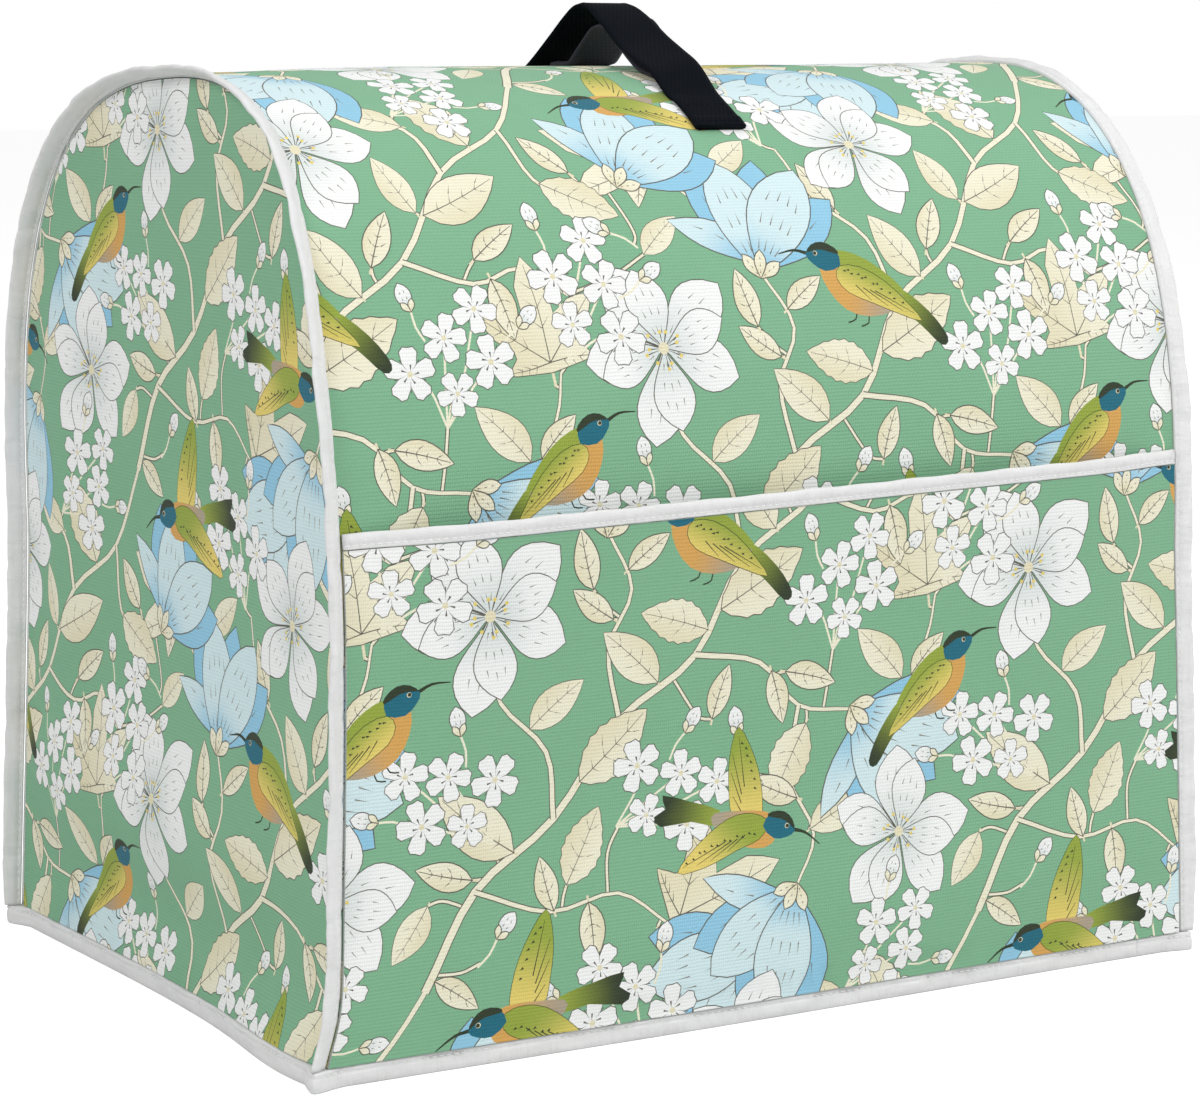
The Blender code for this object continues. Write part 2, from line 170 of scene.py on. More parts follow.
class Sketch:
    """A drawing in millimetres: patches of ink, each laid over those before it."""

    PEN = 0.46
    FINE_PEN = 0.50

    def __init__(self) -> None:
        """Starts with nothing drawn."""
        self.patches: list[Patch] = []

    def fill(self, outline: Array, ink: Ink, fade: Optional[Ink] = None, start: Sequence = (0, 0),
             end: Sequence = (0, 1)) -> None:
        """Lays one patch of ink.

        Args:
            outline: The patch's closed outline.
            ink: The ink at start and behind it.
            fade: The ink that it has turned into at end, if it changes.
            start: Where the change begins.
            end: Where the change is complete.
        """
        places = np.array(start, float), np.array(end, float)
        self.patches.append(Patch(counterclockwise(outline), ink, fade or ink, *places))

    def shape(self, outline: Array, ink: Ink, fade: Optional[Ink] = None, start: Sequence = (0, 0),
              end: Sequence = (0, 1)) -> None:
        """Lays a patch with a thin pen line round it, as fill does."""
        for by, inks in ((self.PEN / 2, (Ink.LINE,)), (-self.PEN / 2, (ink, fade, start, end))):
            self.fill(grown(counterclockwise(outline), by), *inks)

    def line(self, path: Array, wide: float, ink: Ink = Ink.LINE, taper: float = 1.0) -> None:
        """Draws a line of some width, which narrows to a share of it at its end."""
        side = sideways(path) * np.linspace(wide / 2, wide / 2 * taper, len(path))[:, None]
        self.fill(np.vstack((path + side, (path - side)[::-1])), ink)

    def stroke(self, start: Array, end: Array, wide: float, ink: Ink = Ink.LINE) -> None:
        """Draws a short straight stroke that runs out to a point."""
        run = (end - start) / max(float(np.linalg.norm(end - start)), 1e-9) * wide / 2
        self.fill(np.array((start + (-run[1], run[0]), start - (-run[1], run[0]), end)), ink)

    def dashes(self, path: Array, ink: Ink = Ink.FINE, skip: int = 2) -> None:
        """Draws every other stretch of a path with the fine pen."""
        for start in range(0, len(path) - 1, skip):
            self.stroke(path[start], path[start + 1], self.FINE_PEN, ink)

    def dot(self, at: Sequence, radius: float, ink: Ink, sides: int = 7) -> None:
        """Draws a round dot."""
        turn = np.linspace(0.0, 2 * math.pi, sides, endpoint=False)
        self.fill(np.array(at, float) + radius * np.stack((np.cos(turn), np.sin(turn)), axis=1), ink)

    def add(self, other: "Sketch", at: Sequence, degrees: float = 0.0, size: float = 1.0,
            flip: bool = False) -> None:
        """Lays another sketch over this one, scaled, turned and carried to a place."""
        turn, place = turned(degrees, size, flip), np.array(at, float)
        self.patches += [patch.moved(turn, place) for patch in other.patches]


@dataclass(frozen=True)
class Petal:
    """A petal or leaf blade that grows up from the origin."""

    length: float
    width: float
    fullness: float = 1.3
    tip: float = 0.8
    bend: float = 0.0
    teeth: int = 0
    bite: float = 0.10
    points: int = 8

    def outline(self) -> Array:
        """The blade's closed outline."""
        count = self.points if not self.teeth else 2 * self.teeth + 1
        part = np.linspace(0.0, 1.0, count)
        half = self.width / 2 * np.sin(math.pi * np.clip(part, 0, 1) ** self.fullness) ** self.tip
        if self.teeth:
            half = half * (1.0 - self.bite * (np.arange(count) % 2 == 0))
        rise = part * self.length
        lean = self.bend * part ** 2
        right = np.stack((lean + half, rise), axis=1)
        left = np.stack((lean - half, rise), axis=1)[-2:0:-1]
        return np.vstack((right, left))

    def vein(self, aside: float, start: float, end: float, points: int = 7) -> Array:
        """A line up the blade.

        Args:
            aside: Its place across the blade, as a share of the half width at each height.
            start: Where it starts, as a share of the length.
            end: Where it ends, as a share of the length.
            points: How many points it has.

        Returns:
            The line's points.
        """
        part = np.linspace(start, end, points)
        half = self.width / 2 * np.sin(math.pi * part ** self.fullness) ** self.tip
        return np.stack((self.bend * part ** 2 + half * aside, part * self.length), axis=1)


class Motifs:
    """The drawings that the print is composed of."""

    BLOSSOM = 12.5

    def petal(self, blade: Petal, ink: Ink, fade: Ink, veins: Sequence[float] = (-0.42, 0.0, 0.42),
              reach: float = 0.75) -> Sketch:
        """A petal with fine broken veins, whose ink changes from its foot up to a share of its length.

        Args:
            blade: Its shape.
            ink: The ink at its foot.
            fade: The ink further up.
            veins: Each vein's place across, as a share of the half width.
            reach: Where the change is complete, as a share of the length.

        Returns:
            The petal, growing up.
        """
        made = Sketch()
        made.shape(blade.outline(), ink, fade, (0, blade.length * 0.05), (0, blade.length * reach))
        for aside in veins:
            made.dashes(blade.vein(aside, 0.18, 0.78 - 0.12 * abs(aside), 6))
        return made

    def white_flower(self) -> Sketch:
        """A broad open flower with two rings of rounded petals and a tuft of stamens."""
        made = Sketch()
        outer = Petal(41.0, 24.0, 1.4, 0.8, 3.0, points=11)
        inner = Petal(35.0, 20.0, 1.35, 0.85, -2.5, points=11)
        for blade, count, first in ((outer, 5, 20.0), (inner, 4, 0.0)):
            drawn = self.petal(blade, Ink.WHITE_SHADE, Ink.WHITE)
            for step in range(count):
                wobble = 6.0 * math.sin(2.4 * step + first)
                made.add(drawn, (0, 0), first + 360.0 / count * step + wobble, 1.0 - 0.07 * (step % 2))
        for step in range(11):
            turn = turned(360.0 / 11 * step + 9.0 * (step % 3))
            reach = 7.0 + 1.8 * (step % 2)
            tip = np.array((0.4, reach)) @ turn.T
            made.stroke(tip, np.zeros(2), 0.6)
            made.dot(tip, 0.95, Ink.YELLOW, 5)
        made.dot((0, 0), 2.6, Ink.CREAM_SHADE, 9)
        return made

    def bell(self) -> Sketch:
        """A blue cup-shaped flower, seen from the side, which grows up from its stalk."""
        made = Sketch()
        back = Petal(47.0, 21.0, 1.25, 0.85, points=11)
        for degrees, bend in ((33.0, -5.0), (-34.0, 5.0), (2.0, 1.0)):
            blade = replace(back, bend=bend)
            made.add(self.petal(blade, Ink.MID_BLUE, Ink.MID_BLUE, (-0.3, 0.3)), (0, 0), degrees)
        curl = Petal(36.0, 13.0, 1.1, 0.9, -11.0)
        made.add(self.petal(curl, Ink.MID_BLUE, Ink.PALE_BLUE, (0.1,)), (-2, 3), 58.0)
        front = Petal(49.0, 25.0, 1.15, 0.7, points=12)
        for degrees, bend, size in ((19.0, -3.0, 0.94), (-15.0, 4.0, 1.0)):
            blade = replace(front, bend=bend)
            made.add(self.petal(blade, Ink.MID_BLUE, Ink.PALE_BLUE, (-0.5, -0.15, 0.2, 0.5), 0.38), (0, 0),
                     degrees, size)
        sepal = Petal(11.0, 5.0)
        for degrees in (46.0, -44.0, 4.0):
            made.add(self.petal(sepal, Ink.CREAM_SHADE, Ink.CREAM, (0.0,)), (0, -2), degrees)
        return made

    def leaf(self, length: float, share: float = 0.5, bend: float = 4.0, teeth: int = 0) -> Sketch:
        """A cream leaf with a middle rib and pairs of side veins.

        Args:
            length: The blade's length.
            share: Its width as a share of its length.
            bend: How far its tip leans to the right.
            teeth: How many teeth each edge has, or 0 for a smooth edge.

        Returns:
            The leaf, growing up from the end of its stalk.
        """
        made = Sketch()
        blade = Petal(length, length * share, fullness=0.85, tip=0.85, bend=bend, teeth=teeth, points=9)
        made.line(np.array(((0.0, -2.5), (0.0, 1.0))), 1.0, Ink.CREAM_SHADE)
        made.shape(blade.outline(), Ink.CREAM_SHADE, Ink.CREAM, (-length * share / 2, 0),
                   (length * share / 3, 0))
        rib = blade.vein(0.0, 0.0, 0.94, 6)
        made.line(rib, 0.5, Ink.LINE, 0.5)
        for step in range(1, 5):
            part = 0.1 + 0.17 * step
            foot = blade.vein(0.0, part - 0.08, part, 2)[0]
            for aside in (-0.72, 0.72):
                tip = blade.vein(aside, part + 0.04, part + 0.08, 2)[0]
                middle = (foot + tip) / 2 - np.array((0.0, 0.6))
                made.dashes(np.array((foot, middle, tip)), Ink.FINE, skip=1 + step % 2)
        return made

    def lobed_leaf(self) -> Sketch:
        """A broad cream leaf with five pointed lobes."""
        made = Sketch()
        lobes = ((-112.0, 25.0), (-58.0, 38.0), (0.0, 46.0), (55.0, 39.0), (108.0, 26.0))
        knots = [(0.0, -2.0)]
        for index, (degrees, reach) in enumerate(lobes):
            for aside, share in ((-15.0, 0.72), (-7.0, 0.86), (0.0, 1.0), (7.0, 0.84), (15.0, 0.70)):
                turn = math.radians(degrees + aside)
                knots.append((reach * share * math.sin(turn), reach * share * math.cos(turn) + 10.0))
            if index < len(lobes) - 1:
                turn = math.radians((degrees + lobes[index + 1][0]) / 2)
                knots.append((18.0 * math.sin(turn), 18.0 * math.cos(turn) + 10.0))
        outline = np.array(knots)
        made.line(np.array(((0.0, -9.0), (0.0, 0.0))), 1.5, Ink.CREAM_SHADE)
        made.shape(outline, Ink.CREAM_SHADE, Ink.CREAM, (-20, 0), (24, 14))
        for degrees, reach in lobes:
            turn = math.radians(degrees)
            way = np.array((math.sin(turn), math.cos(turn)))
            foot = np.array((0.0, 3.0))
            tip = way * reach * 0.9 + np.array((0.0, 10.0))
            rib = through((foot, foot * 0.45 + tip * 0.55 + way[::-1] * 0.8, tip), 3)
            made.line(rib, 0.55, Ink.LINE, 0.5)
            across = np.array((way[1], -way[0]))
            for part in (0.35, 0.55, 0.75):
                start = foot + (tip - foot) * part
                for aside in (-1.0, 1.0):
                    end = start + (across * aside + way) * reach * 0.13
                    made.dashes(np.array((start, end)))
        return made

    def blossom(self) -> Sketch:
        """A small white flower with five notched petals."""
        made, radius = Sketch(), self.BLOSSOM
        turn = np.linspace(0.0, 2 * math.pi, 30, endpoint=False)
        lobe = np.abs(np.cos(2.5 * turn))
        reach = radius * (0.44 + 0.56 * lobe ** 0.5 - 0.08 * (lobe > 0.985))
        made.shape(reach[:, None] * np.stack((np.cos(turn), np.sin(turn)), axis=1), Ink.WHITE)
        for step in range(5):
            way = turned(36.0 + 72.0 * step)
            made.stroke(*(np.array(((radius * 0.62, 0.25), (radius * 0.15, 0.0))) @ way.T), 0.5)
            way = turned(72.0 * step + 8.0)
            made.stroke(*(np.array(((radius * 0.34, 0.0), (radius * 0.1, 0.3))) @ way.T), 0.9)
        made.dot((0, 0), radius * 0.12, Ink.CREAM_SHADE, 5)
        return made

    def bud(self) -> Sketch:
        """A closed white bud on a short stalk."""
        made = Sketch()
        made.line(through(((0, -14), (1.2, -7), (0, 0)), 2), 1.0, Ink.CREAM)
        made.add(self.petal(Petal(13.0, 7.5, 1.2, 0.7), Ink.WHITE_SHADE, Ink.WHITE, (-0.3, 0.3)), (0, 0))
        for degrees in (28.0, -28.0):
            made.add(self.petal(Petal(6.0, 3.0), Ink.CREAM_SHADE, Ink.CREAM, ()), (0, -0.5), degrees)
        return made

    def cluster(self) -> Sketch:
        """A spray of blossoms and buds on thin stalks."""
        made = Sketch()
        places = ((-13, 4, 0), (9, 12, 25), (2, -11, 50), (24, -5, 10), (-5, 26, 40))
        for x, y, _ in places:
            made.line(through(((6, -26), (x * 0.5 + 3, -10), (x, y)), 3), 1.0, Ink.CREAM)
        made.add(self.bud(), (24, 22), -28.0)
        made.add(self.bud(), (-26, 20), 38.0)
        for index, (x, y, degrees) in enumerate(places):
            made.add(self.blossom(), (x, y), degrees, 1.0 - 0.09 * (index % 3))
        return made

    def feathers(self, made: Sketch, root: Sequence, tips: Sequence) -> None:
        """Draws thin feather lines that fan out from near one place.

        Args:
            made: The sketch that they are added to.
            root: The place that they come from.
            tips: Where each of them ends.
        """
        root = np.array(root, float)
        for tip in np.array(tips, float):
            made.line(np.array((root * 0.55 + tip * 0.45, tip)), 0.5, Ink.DARK, 0.4)

    def speckles(self, made: Sketch, knots: Sequence, count: int) -> None:
        """Draws two staggered rows of small dark flecks along a line.

        Args:
            made: The sketch that they are added to.
            knots: The places that the line passes through.
            count: How many flecks there are.
        """
        path = through(knots, 8)
        for step, here in enumerate(path[np.linspace(0, len(path) - 2, count).astype(int)]):
            made.stroke(here + (0.9, 1.1 * (step % 2)), here + (-0.9, 1.1 * (step % 2) - 0.3), 1.1, Ink.DARK)

    def head(self, made: Sketch, at: Sequence, radius: float, beak: float) -> None:
        """Draws a small bird's head, which looks to the left.

        Args:
            made: The sketch that it is added to.
            at: The head's centre.
            radius: Its size.
            beak: The beak's length.
        """
        at = np.array(at, float)
        bill = through(((-0.8, 0.0), (-1.9, 0.12), (-1.0 - beak / radius, -0.25)), 3) * radius + at
        made.line(bill, 1.9, Ink.DARK, 0.25)
        face = through(((-1.05, -0.05), (-0.6, 0.62), (0.2, 0.9), (1.1, 0.55), (1.4, -0.5), (0.3, -0.98),
                        (-0.6, -0.6)), 2, True) * radius + at
        made.fill(face, Ink.TEAL)
        cap = through(((-1.0, 0.08), (-0.6, 0.62), (0.2, 0.9), (1.1, 0.6), (1.3, 0.2), (0.2, 0.38),
                       (-0.5, 0.26)), 2, True) * radius + at
        made.fill(cap, Ink.DARK)
        made.dot(at + (-0.36 * radius, 0.1 * radius), 1.2, Ink.CREAM_SHADE, 8)
        made.dot(at + (-0.38 * radius, 0.1 * radius), 0.95, Ink.DARK, 7)

    def perched_bird(self) -> Sketch:
        """A small bird that sits with folded wings and looks to the left."""
        made = Sketch()
        made.fill(through(((15, -5), (30, -13), (43, -22), (46.5, -18), (36, -7), (20, 2)), 3, True),
                  Ink.DARK, Ink.OLIVE, (44, -20), (14, -4))
        made.line(through(((-3, -10), (-4, -15), (-8, -17)), 2), 0.7, Ink.DARK)
        made.line(through(((3, -11), (3, -16), (-1, -18)), 2), 0.7, Ink.DARK)
        body = through(((-19, 13), (-10, 16), (3, 13), (15, 6), (22, -2), (17, -9), (4, -13), (-9, -11),
                        (-18, -3), (-22, 6)), 2, True)
        made.fill(body, Ink.TAN, Ink.GREY, (-8, 0), (18, -6))
        made.fill(through(((-17, 15), (-8, 16.5), (4, 13.5), (17, 6), (24, -1), (12, 1), (-4, 6), (-15, 9)),
                          2, True), Ink.OLIVE)
        wing = through(((-11, 9), (0, 9.5), (13, 4), (25, -5), (32, -12), (20, -10), (6, -6.5), (-7, -3),
                        (-13, 3)), 2, True)
        made.fill(grown(counterclockwise(wing), 0.3), Ink.DARK)
        made.fill(wing, Ink.OLIVE, Ink.YELLOW, (8, 9), (2, -8))
        self.feathers(made, (-10, 6), ((28, -9), (22, -8.6), (14, -7.2), (5, -5.4)))
        self.speckles(made, ((-9, 7), (6, 2.5), (24, -7)), 12)
        self.head(made, (-21, 13), 7.4, 15.0)
        return made

    def gliding_bird(self) -> Sketch:
        """A small bird on the wing, which looks to the left."""
        made = Sketch()
        made.fill(through(((12, -3), (26, -5), (40, -12), (45, -9), (41, -4), (45, 1), (30, 3), (14, 4)), 2,
                          True), Ink.DARK, Ink.OLIVE, (42, -4), (12, 0))
        far = through(((-8, 5), (-4, 18), (6, 31), (20, 41), (19, 28), (13, 14), (6, 4)), 3, True)
        made.fill(grown(counterclockwise(far), 0.25), Ink.DARK)
        made.fill(far, Ink.YELLOW, Ink.OLIVE, (0, 6), (16, 34))
        self.feathers(made, (-4, 2), ((18, 37), (18, 29), (15, 21), (10, 12)))
        body = through(((-18, 9), (-9, 11), (4, 7), (16, 2), (15, -3), (3, -7), (-10, -6), (-18, -1)), 2,
                       True)
        made.fill(body, Ink.TAN, Ink.GREY, (-8, 0), (14, -2))
        near = through(((-12, 7), (-3, 8), (8, 2), (18, -12), (24, -28), (11, -21), (-2, -9), (-11, -1)), 3,
                       True)
        made.fill(grown(counterclockwise(near), 0.25), Ink.DARK)
        made.fill(near, Ink.OLIVE, Ink.YELLOW, (4, 4), (14, -22))
        self.feathers(made, (-8, 6), ((22.5, -25), (16, -22), (10, -18), (3, -11.5)))
        self.speckles(made, ((-8, 0), (3, -6.5), (14, -15), (22, -25)), 12)
        self.speckles(made, ((0, 19), (8, 29), (16, 36)), 7)
        self.head(made, (-20, 8), 6.8, 15.0)
        return made

    def stem(self, knots: Sequence, wide: float, taper: float = 0.6) -> Sketch:
        """A cream stem that narrows towards its end.

        Args:
            knots: The places that it grows through.
            wide: Its width at its foot.
            taper: Its width at its end, as a share of that.

        Returns:
            The stem.
        """
        made = Sketch()
        path = through(knots)
        made.line(path, wide + 2 * made.PEN, Ink.LINE, taper)
        made.line(path, wide, Ink.CREAM, taper)
        return made


class Spot(NamedTuple):
    """Where a motif goes in the repeat: which it is, its place, its turn, its size and if it is mirrored."""

    motif: str
    x: float
    y: float
    degrees: float = 0.0
    size: float = 1.0
    flip: bool = False


class Branch(NamedTuple):
    """A stem of the repeat: its width and the places that it grows through."""

    wide: float
    knots: tuple


class BotanicalPrint:
    """The repeat of the print: stems, leaves, flowers and birds, in millimetres."""

    WIDE = 270.0
    TALL = 290.0
    BRANCHES = tuple(Branch(wide, tuple(zip(knots[::2], knots[1::2]))) for wide, *knots in (
        (3.4, 4, -4, 26, 34, 62, 60, 92, 98, 128, 122, 150, 160, 186, 186, 214, 226, 250, 250, 274, 286),
        (2.2, 62, 60, 58, 88, 36, 110, 30, 132), (2.0, 92, 98, 86, 128, 96, 152, 84, 176),
        (2.2, 128, 122, 160, 116, 180, 96, 206, 92), (1.9, 150, 160, 142, 190, 120, 210, 112, 236),
        (2.2, 214, 226, 206, 250, 178, 264, 160, 288), (2.0, 186, 186, 216, 176, 238, 182, 258, 170),
        (1.8, 26, 34, 60, 22, 92, 26, 116, 10), (1.8, 180, 96, 176, 66, 188, 40, 178, 18),
        (1.8, 250, 250, 256, 222, 276, 212, 296, 218), (1.6, 120, 210, 92, 214, 66, 208, 48, 222),
        (1.6, 206, 92, 232, 96, 246, 120, 250, 138),
    ))
    SPOTS = tuple(Spot(*row) for row in (
        ("lobed", 118, 12, -70), ("lobed", 44, 226, 62, 0.9, True), ("lobed", 246, 140, 8, 0.85),
        ("leaf", 44, 48, 58), ("toothed", 74, 74, -52, 0.9), ("leaf", 110, 112, 44, 0.8, True),
        ("toothed", 140, 140, -64), ("leaf", 166, 172, 40, 0.8), ("leaf", 200, 206, -70, 0.95, True),
        ("toothed", 232, 240, 24, 0.9), ("leaf", 50, 98, -48, 0.7), ("small", 88, 140, 60),
        ("small", 94, 160, -50), ("small", 130, 204, 30, 1.1), ("small", 166, 112, 200),
        ("toothed", 184, 88, 150, 0.8), ("small", 180, 56, 70, 1.1), ("leaf", 186, 42, -62, 0.75),
        ("small", 224, 178, -160, 1.1), ("leaf", 206, 252, 66, 0.75, True), ("small", 78, 24, 190, 1.1),
        ("small", 62, 22, 20), ("toothed", 258, 220, -120, 0.8), ("small", 76, 212, 160, 1.1),
        ("small", 238, 104, -40), ("toothed", 68, 32, -30, 0.75), ("leaf", 233, 103, 40, 0.75, True),
        ("toothed", 134, 132, 70, 0.75), ("leaf", 197, 207, 30, 0.68), ("leaf", 74, 225, -60, 0.65, True),
        ("small", 173, 111, -100, 1.1), ("leaf", 275, 31, 150, 0.62), ("small", 25, 39, 80, 1.1),
        ("small", 172, 184, -20, 1.1), ("leaf", 28, 186, -45, 0.6), ("small", 218, 186, -50, 1.1),
        ("small", 78, 153, 20, 1.1), ("small", 8, 290, -120), ("small", 274, 225, 45, 1.1),
        ("small", 137, 94, -15), ("bell", 84, 176, -14, 1.18), ("bell", 208, 92, -128, 1.2, True),
        ("bell", 162, 288, 122, 1.2), ("bell", 296, 219, -38, 1.15), ("bell", 178, 18, 150, 1.15, True),
        ("white", 30, 146, 12), ("white", 152, 238, 40, 0.95), ("white", 232, 36, -20, 0.92),
        ("cluster", 262, 168, -30), ("cluster", 116, 60, -62, 0.95, True), ("cluster", 14, 68, 40, 0.95),
        ("cluster", 206, 142, -8, 0.95, True), ("cluster", 94, 262, 14), ("cluster", 222, 276, -60, 0.9),
        ("bud", 36, 14, -40), ("bud", 150, 86, 10), ("bud", 14, 196, 60), ("perched", 134, 168, -8, 0.95),
        ("gliding", 52, 268, 18), ("gliding", 152, 46, -24, 0.95, True),
        ("perched", 250, 98, 20, 0.9, True),
    ))
    FEET = {"leaf": (0, 0), "toothed": (0, 0), "small": (0, 0), "lobed": (0, -8), "bud": (0, -12),
            "cluster": (6, -24), "bell": (0, 0)}

    def __init__(self) -> None:
        """Draws each motif once and lays the whole repeat."""
        draw = Motifs()
        known = {
            "lobed": draw.lobed_leaf(), "leaf": draw.leaf(44.0), "toothed": draw.leaf(46.0, 0.56, -3.0, 7),
            "small": draw.leaf(24.0, 0.46, 2.0), "bell": draw.bell(), "white": draw.white_flower(),
            "cluster": draw.cluster(), "bud": draw.bud(), "perched": draw.perched_bird(),
            "gliding": draw.gliding_bird(),
        }
        self.repeat = Sketch()
        self.twigs(draw)
        for branch in self.BRANCHES:
            self.repeat.add(draw.stem(branch.knots, branch.wide), (0, 0))
        for spot in self.SPOTS:
            self.repeat.add(known[spot.motif], (spot.x, spot.y), spot.degrees, spot.size, spot.flip)
        self.lows = np.array([patch.outline.min(axis=0) for patch in self.repeat.patches])
        self.highs = np.array([patch.outline.max(axis=0) for patch in self.repeat.patches])

    def twigs(self, draw: Motifs) -> None:
        """Joins the foot of each leaf, bud and spray to the nearest branch.

        Args:
            draw: Draws the twigs.
        """
        paths = [through(branch.knots, 6) for branch in self.BRANCHES]
        steps = [(self.WIDE * column, self.TALL * row) for column in (-1, 0, 1) for row in (-1, 0, 1)]
        branches = np.vstack([path + step for path in paths for step in steps])
        for spot in self.SPOTS:
            if spot.motif not in self.FEET:
                continue
            turn = turned(spot.degrees, spot.size, spot.flip)
            place = np.array((spot.x, spot.y))
            foot = np.array(self.FEET[spot.motif], float) @ turn.T + place
            gap = np.linalg.norm(branches - foot, axis=1).min()
            lead = foot + np.array((0.0, -0.45 * gap / spot.size)) @ turn.T
            near = branches[np.argmin(np.linalg.norm(branches - lead, axis=1))]
            if 2.0 < gap < 45.0:
                self.repeat.add(draw.stem((foot, (foot + lead + near) / 3, near), 1.1, 1.0), (0, 0))

    def over(self, low: Sequence, high: Sequence, shift: Sequence) -> list[Patch]:
        """Every patch that meets a rectangle of the cloth, in the order in which they are laid.

        Args:
            low: The rectangle's lowest corner.
            high: Its highest corner.
            shift: Where the repeat's own corner lies on the cloth.

        Returns:
            The patches, carried to their places.
        """
        size = np.array((self.WIDE, self.TALL))
        shift = np.array(shift, float)
        first = np.floor((np.array(low) - shift) / size).astype(int) - 1
        last = np.ceil((np.array(high) - shift) / size).astype(int) + 1
        places = [shift + size * (column, row) for row in range(first[1], last[1])
                  for column in range(first[0], last[0])]
        found = []
        still = np.eye(2)
        for index, patch in enumerate(self.repeat.patches):
            for place in places:
                if np.all(self.lows[index] + place < high) and np.all(self.highs[index] + place > low):
                    found.append(patch.moved(still, place))
        return found


class Push(NamedTuple):
    """A soft bump or hollow: its centre, its reach along each axis and how far it moves the cloth."""

    centre: tuple
    reach: tuple
    move: tuple


class Lean(NamedTuple):
    """How far a seam's binding leans out of the front or back face at one place along the arch."""

    along: float
    degrees: float


class Knot(NamedTuple):
    """One place on the handle's route: depth, height above the floor, sideways place and roll."""

    y: float
    z: float
    x: float
    roll: float


PUSHES = (
    Push((-0.222, -0.136, 0.000), (0.040, 0.056, 0.022), (-0.0100, 0.0, 0.0)),
    Push((-0.216, -0.080, 0.000), (0.040, 0.070, 0.060), (-0.0025, 0.0, 0.0)),
    Push((-0.060, -0.160, 0.000), (0.170, 0.050, 0.045), (0.0, -0.0030, 0.0)),
    Push((-0.212, -0.150, 0.275), (0.070, 0.060, 0.080), (-0.0026, 0.0010, 0.0)),
    Push((-0.212, 0.060, 0.395), (0.060, 0.080, 0.070), (0.0, 0.0, -0.0048)),
    Push((-0.212, 0.150, 0.300), (0.080, 0.080, 0.100), (-0.0010, 0.0034, 0.0)),
    Push((-0.212, -0.100, 0.375), (0.090, 0.045, 0.045), (0.0, -0.0025, 0.0020)),
    Push((0.212, -0.040, 0.399), (0.120, 0.060, 0.050), (0.0, 0.0, 0.0016)),
    Push((0.215, -0.155, 0.080), (0.060, 0.100, 0.160), (0.0016, 0.0, 0.0)),
    Push((-0.205, 0.020, 0.160), (0.060, 0.100, 0.110), (0.0022, 0.0, 0.0)),
    Push((0.205, 0.020, 0.170), (0.060, 0.090, 0.120), (-0.0020, 0.0, 0.0)),
    Push((0.040, -0.155, 0.120), (0.120, 0.060, 0.070), (0.0, -0.0014, 0.0)),
    Push((0.020, 0.155, 0.160), (0.130, 0.060, 0.110), (0.0, -0.0026, 0.0)),
)


